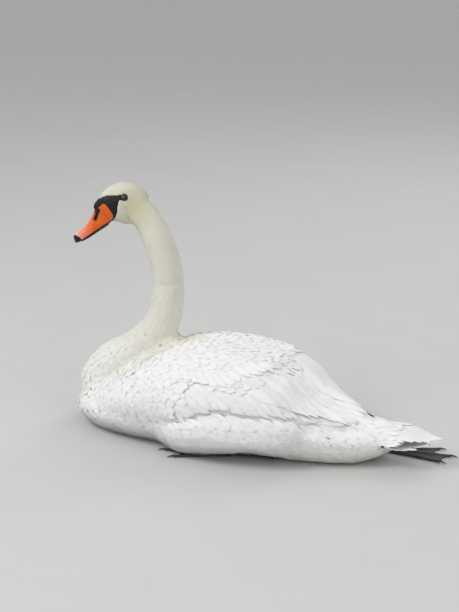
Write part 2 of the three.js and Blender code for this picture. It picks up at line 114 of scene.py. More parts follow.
# The fold below the front of the left wing and down before the flank, which the breast's down fills.
BREAST_FOLD = [
    (-352, -20, 92), (-335, -65, 90), (-300, -105, 88), (-246, -135, 87), (-195, -150, 84), (-168, -155, 80),
    (-160, -156, 58), (-156, -150, 30), (-150, -138, 8),
]
TAIL_ROOT = 258.0  # mm, behind this the skin draws in under the long feathers
TAIL_COAT = (268.0, 322.0)  # mm, how far back small feathers root above and below the tail
# Each foot: place of the toes' root in mm and degrees turned from straight ahead.
FOOT_PLACES = {"left": (-16.0, -96.0, 13.0), "right": (245.0, 44.0, 189.0)}
TOE_SPREAD = 17.0  # degrees between toes
TOE_REACHES = (107.5, 128.0, 115.2)  # mm
TOE_RADIUS = 4.6  # mm
CLAW = 9.0  # mm past the toe
CAMERA_TARGET = (-58.0, 0.0, 262.0)  # mm

# The line along which the plumage lies, bill to tail: (x, z) in mm.
SPINE = [
    (-250, 441), (-231, 414), (-209, 378), (-191, 329), (-187, 275), (-201, 214), (-247, 156), (-310, 106),
    (-337, 70), (-318, 54), (-262, 58), (-180, 66), (-90, 70), (0, 72), (90, 70), (180, 64), (250, 58),
    (390, 58),
]
# Lie of the wing feathers, left side: place, then heading, mirrored for the right.
WING_LIES = [
    ((-300, -60, 95), (0.8, -0.1, 0.55)), ((-280, -105, 92), (0.95, -0.3, 0.15)),
    ((-270, -60, 125), (0.92, -0.1, 0.35)), ((-240, -35, 155), (0.95, 0, 0.3)),
    ((-240, -130, 110), (1, -0.15, 0.05)), ((-200, -80, 160), (1, -0.05, 0.1)),
    ((-190, -150, 95), (1, -0.05, -0.12)), ((-160, -30, 185), (1, 0, 0.03)),
    ((-150, -125, 145), (1, -0.08, -0.1)), ((-110, -158, 100), (1, 0, -0.15)),
    ((-100, -80, 180), (1, -0.05, -0.05)), ((-60, -145, 135), (1, -0.05, -0.28)),
    ((-50, -30, 196), (1, 0, -0.08)), ((-20, -120, 160), (0.95, -0.1, -0.38)),
    ((0, -60, 185), (0.95, 0, -0.25)), ((20, -150, 120), (0.93, 0.05, -0.4)),
    ((50, -90, 165), (0.86, -0.05, -0.5)), ((80, -50, 155), (0.82, 0.1, -0.56)),
    ((80, -135, 110), (0.93, 0.2, -0.35)), ((120, -80, 115), (0.85, 0.15, -0.55)),
    ((160, -40, 95), (0.92, 0.1, -0.36)), ((200, -40, 80), (0.96, 0.1, -0.25)),
]
# Tail fans: height of the roots, rise of the side ones, how many, height of the topmost tips.
TAIL_FANS = {"rectrices": (70.0, -7, 13, 0.2), "rectrices_under": (46.0, 14, 12, -0.4)}
# Long wing feathers of the left wing: root line, tip line, how many, width, heights of root and tip.
WING_ROWS = {
    "primaries": (
        [(70, -105, 145), (90, -75, 148), (100, -45, 140)],
        [(168, -72, 86), (198, -52, 76), (222, -16, 76)],
        7, 26.0, -6.0, -2.2,
    ),
    "secondaries": (
        [(-150, -146, 130), (-118, -142, 142), (-92, -137, 150), (-60, -132, 155), (-25, -124, 159),
         (10, -112, 162), (45, -95, 162)],
        [(-66, -163, 88), (-40, -161, 98), (-10, -157, 108), (18, -155, 110), (46, -150, 104),
         (90, -130, 96), (134, -96, 92)],
        15, 32.0, -5.0, -1.4,
    ),
    "tertials": (
        [(-14, -112, 163), (6, -98, 168), (16, -84, 174), (20, -70, 178), (18, -52, 182), (14, -36, 186),
         (8, -26, 188)],
        [(92, -114, 122), (112, -100, 114), (131, -94, 102), (150, -78, 95), (166, -66, 90), (186, -60, 80),
         (204, -40, 76)],
        8, 42.0, -3.4, 0.2,
    ),
    "coverts": (
        [(-150, -110, 170), (-122, -108, 174), (-88, -108, 175),
         (-50, -98, 180), (-32, -76, 186), (-14, -58, 190), (0, -36, 190)],
        [(-98, -134, 152), (-74, -135, 152), (-45, -137, 150), (-15, -136, 149), (11, -126, 154),
         (34, -100, 164), (62, -60, 164)],
        12, 26.0, -2.6, 0.9,
    ),
}


def unit(vectors):
    """Rows scaled to length one."""
    return vectors / np.maximum(np.linalg.norm(vectors, axis=-1, keepdims=True), 1e-12)


def dot(a, b):
    """Row by row product, as a column."""
    return (a * b).sum(axis=-1, keepdims=True)


def framed(matrix, places):
    """Rows of places carried by a matrix."""
    turn = np.array(matrix.to_3x3())
    return places @ turn.T + np.array(matrix.translation)


def side_line(line, closed=False):
    """A corner list as a smooth polyline."""
    points = np.array(line, dtype=float)
    count = len(points)
    made = []
    for i in range(count if closed else count - 1):
        rows = [i + k for k in (-1, 0, 1, 2)]
        p0, p1, p2, p3 = (points[row % count if closed else min(max(row, 0), count - 1)] for row in rows)
        for t in np.arange(0, 1, 0.25):
            made.append(
                0.5 * (2 * p1 + (p2 - p0) * t + (2 * p0 - 5 * p1 + 4 * p2 - p3) * t**2
                       + (3 * p1 - p0 - 3 * p2 + p3) * t**3)
            )
    if not closed:
        made.append(points[-1])
    return np.array(made)


def along(line, shares):
    """Places on a polyline at shares of its length."""
    line = np.array(line, dtype=float)
    reach = np.concatenate([[0], np.cumsum(np.linalg.norm(np.diff(line, axis=0), axis=1))])
    return np.stack([np.interp(shares * reach[-1], reach, line[:, k]) for k in range(line.shape[1])], axis=1)


def segment_distance(places, start, end):
    """Distance of each place from a straight stretch, and how far along it."""
    start, end = np.array(start, dtype=float), np.array(end, dtype=float)
    run = end - start
    share = np.clip(((places - start) @ run) / (run @ run), 0, 1)
    return np.linalg.norm(places - start - share[:, None] * run, axis=1), share


def outline_distance(places, outline):
    """Signed distance from a closed outline in a plane, negative inside."""
    nearest = np.full(len(places), 1e9)
    inside = np.zeros(len(places), dtype=bool)
    for start, end in zip(outline, np.roll(outline, -1, axis=0)):
        nearest = np.minimum(nearest, segment_distance(places, start, end)[0])
        crosses = (start[1] > places[:, 1]) != (end[1] > places[:, 1])
        rise = end[1] - start[1]
        rise = rise if abs(rise) > 1e-9 else 1e-9
        inside ^= crosses & (
            places[:, 0] < start[0] + (places[:, 1] - start[1]) * (end[0] - start[0]) / rise
        )
    return np.where(inside, -nearest, nearest)


def mask_distance(places):
    """How far outside the bare face each place is, in mm."""
    local = framed(HEAD_FRAME.inverted(), places)
    return outline_distance(local[:, (0, 2)], side_line(MASK_LINE, closed=True))


def patch_distance(places):
    """How far outside the orange each place is, in mm."""
    local = framed(HEAD_FRAME.inverted(), places)
    bill = framed(BILL_FRAME.inverted(), places)
    patch = outline_distance(local[:, (0, 2)], side_line(PATCH_LINE, closed=True))
    hem = np.array(BILL_HEM)
    above = np.interp(bill[:, 0], hem[:, 0], hem[:, 1]) - bill[:, 2]
    beyond = np.where(bill[:, 0] < PATCH_FRONT, -12.0, patch)
    blend = np.clip((bill[:, 0] + 22.0) / 12.0, 0, 1)
    return np.maximum(beyond * (1 - blend) + patch * blend, above)


def nostril_distance(places):
    """How far outside the nostril's slot each place is, in mm."""
    bill = framed(BILL_FRAME.inverted(), places)
    start, end, radius, _ = NOSTRIL
    return segment_distance(bill[:, (0, 2)], start, end)[0] - radius


def vertex_normals(points, faces):
    """Outward direction at each point of a mesh of four-sided faces."""
    lean = np.cross(
        points[faces[:, 2]] - points[faces[:, 0]], points[faces[:, 3]] - points[faces[:, 1]]
    )
    total = np.zeros_like(points)
    for corner in range(4):
        for axis in range(3):
            total[:, axis] += np.bincount(faces[:, corner], lean[:, axis], len(points))
    return unit(total)


def relaxed(points, faces, rounds, steps=(0.5, -0.53)):
    """Points, or values on points, evened out with their neighbours."""
    here, there = faces.ravel(), np.roll(faces, -1, axis=1).ravel()
    count = np.bincount(here, minlength=len(points))[:, None]
    values = points.reshape(len(points), -1)
    for factor in steps * rounds:
        mean = np.stack(
            [np.bincount(here, values[there, axis], len(points)) for axis in range(values.shape[1])], axis=1
        )
        values = values + factor * (mean / count - values)
    return values.reshape(points.shape)


def node_copy(names, swell):
    """One mesh of copies of the named nodes, their corners joined and pushed out by the swell."""
    bm = bmesh.new()
    for name in names:
        bm.from_mesh(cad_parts[name].data)
    bmesh.ops.remove_doubles(bm, verts=bm.verts, dist=1e-6)
    bm.normal_update()
    for vert in bm.verts:
        vert.co += vert.normal * swell * MM
    mesh = bpy.data.meshes.new("shell")
    bm.to_mesh(mesh)
    bm.free()
    return mesh


def quad_mesh(points, faces, name="shell"):
    """A plain mesh from points in mm and four-sided faces."""
    mesh = bpy.data.meshes.new(name)
    mesh.vertices.add(len(points))
    mesh.vertices.foreach_set("co", (points * MM).astype(np.float32).ravel())
    mesh.loops.add(faces.size)
    mesh.loops.foreach_set("vertex_index", faces.ravel().astype(np.int32))
    mesh.polygons.add(len(faces))
    mesh.polygons.foreach_set("loop_start", np.arange(0, faces.size, 4, dtype=np.int32))
    mesh.update(calc_edges=True)
    return mesh


def read(items, key, width=1, kind=np.int64):
    """The numbers that items of a mesh hold under a key."""
    values = np.empty(len(items) * width, dtype=kind)
    items.foreach_get(key, values)
    return values


def write(mesh, label, values, kind="FLOAT", domain="POINT"):
    """Writes values on the points, edges or corners of a mesh."""
    layer = mesh.attributes.new(label, kind, domain)
    values = values if kind == "BOOLEAN" else values.astype(np.float32)
    layer.data.foreach_set("vector" if kind == "FLOAT_VECTOR" else "value", values.ravel())


def linked(name, data):
    """A new object in the scene."""
    obj = bpy.data.objects.new(name, data)
    bpy.context.scene.collection.objects.link(obj)
    return obj


def finished(name, mesh, material):
    """A finished piece of the model from its mesh."""
    mesh.materials.append(material)
    obj = linked(name, mesh)
    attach(obj, "root")
    return obj


def mesh_piece(name, points, faces, material):
    """A finished piece from points in mm and four-sided faces."""
    mesh = quad_mesh(points, faces, name)
    mesh.polygons.foreach_set("use_smooth", np.ones(len(faces), dtype=bool))
    return finished(name, mesh, material)


def bmesh_piece(name, bm, material):
    """A finished piece from a bmesh in metres."""
    mesh = bpy.data.meshes.new(name)
    for face in bm.faces:
        face.smooth = True
    bm.to_mesh(mesh)
    bm.free()
    return finished(name, mesh, material)


def voxel_shell(mesh, grain):
    """One closed surface round all that a mesh holds: points in mm and four-sided faces."""
    work = linked("shell", mesh)
    remesh = work.modifiers.new("Remesh", "REMESH")
    remesh.mode = "VOXEL"
    remesh.voxel_size = grain * MM
    remesh.adaptivity = 0.0
    made = bpy.data.meshes.new_from_object(work.evaluated_get(bpy.context.evaluated_depsgraph_get()))
    bpy.data.objects.remove(work)
    bpy.data.meshes.remove(mesh)
    points = read(made.vertices, "co", 3, float)
    corners = read(made.loops, "vertex_index")
    bpy.data.meshes.remove(made)
    return points.reshape(-1, 3) / MM, corners.reshape(-1, 4)


class Surface:
    """A closed surface that can be asked for its nearest place and outward direction."""

    def __init__(self, points, faces):
        self.points = points
        self.faces = faces
        self.normals = vertex_normals(points, faces)
        self.tree = BVHTree.FromPolygons(points.tolist(), faces.tolist())

    def nearest(self, places):
        """Next places on the surface, and the outward direction at each."""
        hits = [self.tree.find_nearest(place) for place in places.tolist()]
        spots = np.array([tuple(hit[0]) for hit in hits])
        corners = self.faces[np.array([hit[2] for hit in hits])]
        reach = np.linalg.norm(self.points[corners] - spots[:, None], axis=2)
        weight = 1 / (reach + 0.3) ** 2
        return spots, unit((self.normals[corners] * weight[..., None]).sum(axis=1))


def spine_line():
    """The spine with the turned head in front, as places in mm."""
    head = [(-58, 0, -12), (-36, 0, 2), (-12, 0, 10), (8, 0, 8)]
    front = framed(HEAD_FRAME, np.array(head, dtype=float))
    rest = np.array([(x, 0, z) for x, z in SPINE], dtype=float)
    return side_line(np.concatenate([front, rest]))


SPINE_LINE = spine_line()


def spine_share(places):
    """Share of the spine next to each place, and its offset from the spine."""
    steps = np.linalg.norm(np.diff(SPINE_LINE, axis=0), axis=1)
    reach = np.concatenate([[0], np.cumsum(steps)])
    best = np.full(len(places), 1e9)
    share = np.zeros(len(places))
    offset = np.zeros_like(places)
    heading = np.zeros_like(places)
    for i in range(len(SPINE_LINE) - 1):
        gap, part = segment_distance(places, SPINE_LINE[i], SPINE_LINE[i + 1])
        closer = gap < best
        best = np.where(closer, gap, best)
        share = np.where(closer, (reach[i] + part * steps[i]) / reach[-1], share)
        run = SPINE_LINE[i + 1] - SPINE_LINE[i]
        foot = SPINE_LINE[i] + part[:, None] * run
        offset = np.where(closer[:, None], places - foot, offset)
        heading = np.where(closer[:, None], run / steps[i], heading)
    return share, offset, heading


def spine_angle(offset, heading):
    """Turn round the spine of each place, from -1 to 1."""
    upright = unit(np.cross(heading, np.array([[0.0, 1.0, 0.0]])))
    return np.arctan2(offset[:, 1], (offset * upright).sum(axis=1)) / math.pi


def lie_guides():
    """Places and headings that the plumage's lie follows."""
    mids = (SPINE_LINE[1:] + SPINE_LINE[:-1]) / 2
    places = [mids]
    headings = [unit(SPINE_LINE[1:] - SPINE_LINE[:-1])]
    for side in SIDES.values():
        mirror = np.array([1, -side, 1])
        places.append(np.array([place for place, _ in WING_LIES], dtype=float) * mirror)
        headings.append(unit(np.array([lie for _, lie in WING_LIES], dtype=float) * mirror))
    return np.concatenate(places), np.concatenate(headings)


def lie_at(places, normals):
    """Heading of the plumage at each place, flat on the surface."""
    spots, headings = lie_guides()
    total = np.zeros_like(places)
    for spot, heading in zip(spots, headings):
        gap = ((places - spot) ** 2).sum(axis=1)
        total += heading / ((gap + LIE_BLUR)[:, None] ** 3) * 1e9
    total = unit(total)
    return unit(total - dot(total, normals) * normals)


def coat_values(surface):
    """Per point of the surface: gap, length, width and depth of the coat, and the node it lies on."""
    owners, points, faces = [], [], []
    for row, name in enumerate(FLESH):
        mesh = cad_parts[name].data
        start = len(points)
        points += [tuple(vert.co / MM) for vert in mesh.vertices]
        faces += [[start + corner for corner in polygon.vertices] for polygon in mesh.polygons]
        owners += [row] * len(mesh.polygons)
    tree = BVHTree.FromPolygons(points, faces)
    owner = np.array([owners[tree.find_nearest(place)[2]] for place in surface.points.tolist()])
    values = np.array([COATS[name] for name in FLESH])[owner]
    values = relaxed(values, surface.faces, 30, steps=(0.9,))
    face = np.clip(mask_distance(surface.points) / 26.0, 0, 1)
    values[:, :3] *= (0.72 + 0.28 * face)[:, None]
    values[:, 3] *= 0.55 + 0.45 * face
    return values, owner


def scattered(surface, gaps, rng):
    """Roots spread evenly over a surface: their places, and a point of the surface by each."""
    points, faces = surface.points, surface.faces
    area = 0.5 * np.linalg.norm(
        np.cross(points[faces[:, 2]] - points[faces[:, 0]], points[faces[:, 3]] - points[faces[:, 1]]), axis=1
    )
    spacing = gaps[faces].mean(axis=1)
    weight = area / spacing**2
    count = int(weight.sum() * 4.5)
    pick = rng.choice(len(faces), count, p=weight / weight.sum())
    u, v = rng.random(count)[:, None], rng.random(count)[:, None]
    corners = faces[pick]
    places = (
        points[corners[:, 0]] * (1 - u) * (1 - v) + points[corners[:, 1]] * u * (1 - v)
        + points[corners[:, 2]] * u * v + points[corners[:, 3]] * (1 - u) * v
    )
    # Each root is kept if none kept before it is nearer than its gap. Grids of growing cells find those near.
    cells = (3.0, 6.0, 12.0, 24.0)
    grids = [{} for _ in cells]
    around = [(i, j, k) for i in (-1, 0, 1) for j in (-1, 0, 1) for k in (-1, 0, 1)]
    kept = []
    for row, (place, radius) in enumerate(zip(places.tolist(), spacing[pick].tolist())):
        level = next(level for level, size in enumerate(cells) if size >= radius)
        x, y, z = place
        a, b, c = (int(value // cells[level]) for value in place)
        if all(
            (px - x) ** 2 + (py - y) ** 2 + (pz - z) ** 2 >= radius * radius
            for i, j, k in around for px, py, pz in grids[level].get((a + i, b + j, c + k), ())
        ):
            kept.append(row)
            for size, grid in zip(cells, grids):
                grid.setdefault((int(x // size), int(y // size), int(z // size)), []).append(place)
    return places[kept], corners[kept, 0]


# Half width of a feather at even steps from root to tip.
OUTLINES = {
    "small": (0.35, 0.95, 1.0, 0.45),
    "contour": (0.3, 0.75, 1.0, 1.0, 0.84, 0.34),
    "neck": (0.35, 0.85, 1.0, 0.9, 0.42),
    "plume": (0.4, 1.0, 0.9, 0.6, 0.14),
    "vane": (0.3, 0.62, 0.85, 0.96, 1.0, 1.0, 0.97, 0.9, 0.76, 0.55, 0.2),
}
ACROSS = {"small": 2, "plume": 2, "neck": 4, "contour": 4, "vane": 8}
BAKE_PATCH = 0.003  # size of one feather on the OFBake map
EDGE_DROP, EDGE_LIFT = -0.3, 0.2  # how far a feather's edges follow the surface, by its half width
HELD_SLIP, HELD_TURN = 0.5, 0.35  # most sideways slip by the step, least cosine of the turn in one step


def feather_paths(surface, roots, headings, lengths, widths, outline, cupped, aim, cling):
    """Feathers' paths over a surface: places, outward and forward ways, drops at their edges, least turn."""
    steps = len(outline) - 1
    spot, normal = surface.nearest(roots)
    heading = unit(headings - dot(headings, normal) * normal)
    stride = (lengths / steps)[:, None]
    turned = np.ones(len(roots))
    held = np.ones((len(roots), 1), dtype=bool)
    spots, normals, ways, drops = [], [], [], []
    for step in range(steps + 1):
        side = np.cross(normal, heading)
        half = (widths * outline[step] / 2)[:, None]
        drop = np.zeros((len(roots), 2, 1))
        if cupped:
            for k, way in enumerate((-1, 1)):
                edge = spot + side * half * way
                found, _ = surface.nearest(edge)
                drop[:, k] = np.clip(dot(found - edge, normal), EDGE_DROP * half, EDGE_LIFT * half) * held
        for gathered, now in zip((spots, normals, ways, drops), (spot, normal, heading, drop)):
            gathered.append(now)
        if step == steps:
            break
        if aim is not None:
            toward = aim - spot
            heading = unit(toward - dot(toward, normal) * normal)
        ahead = spot + heading * stride
        found, fresh = surface.nearest(ahead)
        slip = found - ahead
        slip = np.linalg.norm(slip - dot(slip, normal) * normal, axis=1, keepdims=True)
        # Off an edge of the body a feather goes straight on, unless it clings.
        held = (slip < HELD_SLIP * stride) & (dot(fresh, normal) > HELD_TURN) | cling
        spot = np.where(held, found, ahead)
        normal = unit(np.where(held, fresh, normal))
        heading = unit(heading - dot(heading, normal) * normal)
        turned = np.minimum(turned, dot(normals[0], normal)[:, 0])
    return [np.stack(gathered) for gathered in (spots, normals, ways)], drops, turned


def feather_faces(steps, across):
    """Faces of one feather as rows of its points, and the rows of its leans at their corners."""
    ring_size = across + 2
    kinds = 2 * across + 5
    quads, slants = [], []
    for step in range(steps):
        for k in range(ring_size):
            after = (k + 1) % ring_size
            quads.append([step * ring_size + k, step * ring_size + after,
                          (step + 1) * ring_size + after, (step + 1) * ring_size + k])
            first, second = (k, after) if k < across else (k + across + 1, after + across + 1)
            slants.append([step * kinds + first, step * kinds + second,
                           (step + 1) * kinds + second, (step + 1) * kinds + first])
    tip = steps * ring_size
    for k in range(0, across, 2):
        quads.append([k + 2, k + 1, k, across + 1])
        slants.append([kinds - 1] * 4)
        quads.append([tip + k, tip + k + 1, tip + k + 2, tip + across + 1])
        slants.append([(steps + 1) * kinds - 2] * 4)
    return np.array(quads)[:, ::-1], np.array(slants)[:, ::-1]


def lay_feathers(name, kind, surface, roots, headings, lengths, widths, lows, highs, rng, thick, aim=None,
                 roll=0.0, round_tip=0.1, fray=0.06, camber=0.1, bulge=0.15, bend=-1.0, cling=True):
    """One piece of closed thin vanes that lie from their roots along the surface and rise from low to high."""
    outline = np.array(OUTLINES[kind])
    steps = len(outline) - 1
    across = ACROSS[kind]
    number = len(roots)
    row = np.arange(number)
    paths, drops, turned = feather_paths(
        surface, roots, headings, lengths, widths, outline, kind in ("contour", "vane"), aim, cling
    )
    lanes = np.linspace(-1, 1, across + 1)
    ragged = rng.uniform(-1, 1, (number, across + 1)) * fray
    rows, maps, leans = [], [], []
    for step in range(steps + 1):
        share = step / steps
        half = (widths * outline[step] / 2)[:, None]
        ring, tilts, low_tilts = [], [], []
        for k, lane in enumerate([*lanes, 0.0]):
            under = k > across  # the one lane below the feather's middle
            back = round_tip * lane**2 + ragged[:, min(k, across)]
            if under:
                back = np.full(number, round_tip * 0.6 + fray + 0.01)
            reach = np.clip(share - back * share**3, 0, 1)
            low = np.minimum((reach * steps).astype(int), steps - 1)
            part = (reach * steps - low)[:, None]
            spot, normal, heading = (path[low, row] * (1 - part) + path[low + 1, row] * part for path in paths)
            side = np.cross(normal, heading)
            rise = (lows + (highs - lows) * reach**0.8)[:, None]
            if under:
                rise = rise - np.abs(drops[step]).max(axis=1) * 0.5 - thick * (1.1 - 0.5 * share)
                rise = rise - 0.1 * half
                low_tilts += [-normal, normal + 0.5 * heading, -heading]
            else:
                fall = drops[step][:, 0] if lane < 0 else drops[step][:, 1]
                rise = rise + fall * lane**2 - camber * half * lane**2 + roll * half * lane
                tilts.append(normal + side * lane * bulge + heading * (share - 0.4) * bulge)
                low_tilts.append(side * lane - 2 * normal)
            ring.append(spot + side * half * lane + normal * rise)
        rows.append(np.stack(ring, axis=1))
        leans.append(np.stack([unit(tilt) for tilt in tilts + low_tilts], axis=1))
        maps += [(share, (lane + 1) / 2) for lane in lanes] + [(share, 0.5)]
    kept = turned > bend
    roots = roots[kept]
    number = len(roots)
    ring_size = across + 2
    per = (steps + 1) * ring_size
    points = np.stack(rows, axis=1)[kept].reshape(-1, 3)
    points[:, 2] = np.maximum(points[:, 2], FLOOR_GAP)
    quads, slants = feather_faces(steps, across)
    faces = (np.arange(number)[:, None, None] * per + quads[None]).reshape(-1, 4)
    material = WORK["vane_material" if kind == "vane" else "feather_material"]
    mesh = mesh_piece(name, points, faces, material).data
    share, offset, heading = spine_share(roots)
    base = np.stack([0.03 + 0.94 * share, 0.5 + 0.47 * spine_angle(offset, heading)], axis=1)
    local = np.array(maps)
    corners = read(mesh.loops, "vertex_index")
    for label, places in (
        ("OFBake", (base[:, None] + (local[None] - 0.5) * BAKE_PATCH).reshape(-1, 2)),
        ("Vane", np.tile(local, (number, 1))),
    ):
        layer = mesh.uv_layers.new(name=label)
        layer.data.foreach_set("uv", places[corners].ravel().astype(np.float32))
    add_markings(mesh, np.repeat(roots, per, axis=0))
    # Edges along the rims are sharp: they join two rim points of one lane, or of the first or last ring.
    lane = np.tile(np.arange(ring_size), steps + 1)
    ring = np.repeat(np.arange(steps + 1), ring_size)
    alone = -1 - np.arange(per)
    rims = np.stack([np.where((lane == 0) | (lane == across), lane, alone),
                     np.where((ring == 0) | (ring == steps), ring, alone)], axis=1)
    rims = np.tile(rims, (number, 1))[read(mesh.edges, "vertices", 2).reshape(-1, 2)]
    write(mesh, "sharp_edge", (rims[:, 0] == rims[:, 1]).any(axis=1), "BOOLEAN", "EDGE")
    leans = np.concatenate(leans, axis=1)[kept][:, slants.ravel()].reshape(-1, 3)
    write(mesh, "custom_normal", leans, "FLOAT_VECTOR", "CORNER")


def add_markings(mesh, places):
    """Writes the plumage's shades, taken at each feather's root, on the mesh."""
    share, offset, _ = spine_share(places)
    head = framed(HEAD_FRAME.inverted(), places)
    cream = np.interp(share, (0.0, 0.12, 0.2, 0.3, 0.36, 0.42, 0.5), (1.0, 1.0, 0.85, 0.6, 0.34, 0.14, 0.0))
    cream = cream * np.clip(places[:, 2] / 60, 0, 1)
    cream = cream * np.clip((74 - np.linalg.norm(offset, axis=1)) / 16, 0, 1)
    crown = np.exp(-((head[:, 0] - 14) ** 2 + (head[:, 2] - 4) ** 2) / 900.0) * (share < 0.25)
    # Fold: painted warm shade in the crease where the neck rests on the back.
    fold = np.exp(-(((places - np.array([-186, 0, 178])) ** 2).sum(axis=1)) / 380.0)
    # Under: grey mixed in low down, growing towards the rear.
    under = np.clip((34 - places[:, 2]) / 34, 0, 1) * np.clip((places[:, 0] + 60) / 120, 0, 1)
    for label, values in (("Cream", cream), ("Crown", crown), ("Fold", fold), ("Under", under)):
        write(mesh, label, np.clip(values, 0, 1))


# Colours of the plumage, each with its own property. The fourth is painted warm shade for the crease where the
# neck rests on the back.
TINTS = ("White", "Cream", "Olive", "Rust", "Grey")


def node_tree(name):
    """An empty material with its nodes and its Principled shader."""
    material = bpy.data.materials.new(name)
    material.use_nodes = True
    tree = material.node_tree
    return material, tree, next(node for node in tree.nodes if node.type == "BSDF_PRINCIPLED")


def put(tree, node, inputs):
    """Sets the inputs of a node to values, or links them."""
    for key, value in inputs.items():
        if isinstance(value, bpy.types.NodeSocket):
            tree.links.new(value, node.inputs[key])
        else:
            node.inputs[key].default_value = value
    return node


def add_node(tree, kind, inputs=None, **settings):
    """A node with its settings and the values or links of its inputs."""
    node = tree.nodes.new(kind)
    for key, value in settings.items():
        setattr(node, key, value)
    return put(tree, node, inputs or {})


def reading(tree, label):
    """A number written on the mesh."""
    return add_node(tree, "ShaderNodeAttribute", attribute_name=label).outputs["Fac"]


def mixed(tree, factor, low, high):
    """Two colours mixed by a factor. The colour sockets of the node have the numbers 6 and 7, and 2."""
    return add_node(tree, "ShaderNodeMix", {0: factor, 6: low, 7: high}, data_type="RGBA").outputs[2]


def figured(tree, operation, first, second=0.0, clamp=False):
    """The result of one sum."""
    inputs = {0: first, 1: second}
    return add_node(tree, "ShaderNodeMath", inputs, operation=operation, use_clamp=clamp).outputs[0]


def ranged(tree, value, low, high, start=0.0, end=1.0):
    """A value carried from one range to another, and held at its ends."""
    inputs = {"Value": value, "From Min": low, "From Max": high, "To Min": start, "To Max": end}
    return add_node(tree, "ShaderNodeMapRange", inputs).outputs["Result"]


def own_place(tree):
    """The place on the piece itself."""
    return add_node(tree, "ShaderNodeTexCoord").outputs["Object"]


def noise(tree, scale, detail=3.0, rough=0.5):
    """Soft random cloud on the piece's own place."""
    inputs = {"Vector": own_place(tree), "Scale": scale, "Detail": detail, "Roughness": rough}
    return add_node(tree, "ShaderNodeTexNoise", inputs).outputs["Fac"]


def bumped(tree, shader, height, strength, distance):
    """Gives a shader a bump, its distance in metres."""
    bump = add_node(tree, "ShaderNodeBump", {"Height": height, "Strength": strength, "Distance": distance})
    put(tree, shader, {"Normal": bump.outputs["Normal"]})


def colour(value):
    """A colour as a socket value."""
    return (value[0], value[1], value[2], 1.0)


def plumage_group():
    """Colour of the plumage from the shades written on skin and coat."""
    group = bpy.data.node_groups.new("Plumage shades", "ShaderNodeTree")
    for label in TINTS:
        group.interface.new_socket(label, in_out="INPUT", socket_type="NodeSocketColor")
    group.interface.new_socket("Colour", in_out="OUTPUT", socket_type="NodeSocketColor")
    enter = group.nodes.new("NodeGroupInput").outputs
    patchy = ranged(group, noise(group, 34.0, 3.0, 0.55), 0.3, 0.7, 0.82, 1.12)
    shade = enter["White"]
    for marking, label, strength in (
        # Fold mixes in painted warm shade for the crease where the neck rests on the back.
        ("Cream", "Cream", patchy), ("Crown", "Olive", patchy), ("Fold", "Rust", 0.6),
        # Under mixes in grey low down, growing towards the rear.
        ("Under", "Grey", patchy),
    ):
        share = figured(group, "MULTIPLY", reading(group, marking), strength, clamp=True)
        shade = mixed(group, share, shade, enter[label])
    put(group, group.nodes.new("NodeGroupOutput"), {"Colour": shade})


def plumage_material(name, barbs):
    """White feathers: shades, a soft pale sheen, and barbs along each vane or, with none, fine down."""
    settings = bpy.context.scene.swan_coat
    material, tree, shader = node_tree(name)
    shades = add_node(tree, "ShaderNodeGroup", node_tree=bpy.data.node_groups["Plumage shades"])
    put(tree, shades, {label: colour(getattr(settings, label.lower())) for label in TINTS})
    put(tree, shader, {
        "Base Color": shades.outputs["Colour"], "Roughness": 0.72, "Specular IOR Level": 0.3,
        "Subsurface Weight": 0.18, "Subsurface Radius": (0.006, 0.0055, 0.005), "Subsurface Scale": 1.0,
    })
    if not barbs:
        bumped(tree, shader, noise(tree, 260.0, 4.0, 0.6), 0.4, 0.001)
        return material
    vane = add_node(tree, "ShaderNodeUVMap", uv_map="Vane").outputs["UV"]
    split = add_node(tree, "ShaderNodeSeparateXYZ", {"Vector": vane}).outputs
    across = figured(tree, "ABSOLUTE", figured(tree, "SUBTRACT", split["Y"], 0.5))
    slant = figured(tree, "SUBTRACT", figured(tree, "MULTIPLY", split["X"], barbs),
                    figured(tree, "MULTIPLY", across, barbs * 0.6))
    wave = figured(tree, "SINE", figured(tree, "MULTIPLY", slant, 6.2832))
    shaft = ranged(tree, across, 0.0, 0.035, 1.0, 0.0)
    bumped(tree, shader, figured(tree, "ADD", figured(tree, "MULTIPLY", wave, 0.3), shaft), 0.35, 0.0006)
    return material


def bill_material():
    """Orange bill that pales to pink at the tip, with a painted highlight along the ridge, black face and
    knob, all on one surface.
    """
    settings = bpy.context.scene.swan_bill
    material, tree, shader = node_tree("bill orange and black")
    cloud = noise(tree, 120.0, 4.0, 0.6)
    broad = ranged(tree, noise(tree, 45.0, 3.0, 0.5), 0.35, 0.7)
    shade = mixed(tree, broad, colour(settings.orange), colour(settings.deep_orange))
    tip = figured(tree, "ADD", reading(tree, "Tip"), ranged(tree, cloud, 0.3, 0.7, -0.22, 0.22))
    shade = mixed(tree, ranged(tree, tip, 0.2, 0.95), shade, colour(settings.pink))
    # The pale colour shows a painted highlight along the top of the ridge, broken up at random, and the real
    # paler horn near the tip.
    wear_and_highlight = ranged(tree, cloud, 0.3, 0.65, 0.35, 1.1)
    pale = figured(tree, "MULTIPLY", reading(tree, "Pale"), wear_and_highlight, clamp=True)
    shade = mixed(tree, pale, shade, colour(settings.pale))
    edge = figured(tree, "ADD", reading(tree, "Black"), ranged(tree, cloud, 0.2, 0.8, -0.35, 0.35))
    shade = mixed(tree, ranged(tree, edge, -0.35, 0.35), shade, colour(settings.black))
    rough = ranged(tree, cloud, 0.3, 0.7, 0.4, 0.55)
    put(tree, shader, {"Base Color": shade, "Specular IOR Level": 0.3, "Roughness": rough})
    bumped(tree, shader, noise(tree, 620.0, 4.0, 0.65), 0.3, 0.0005)
    return material


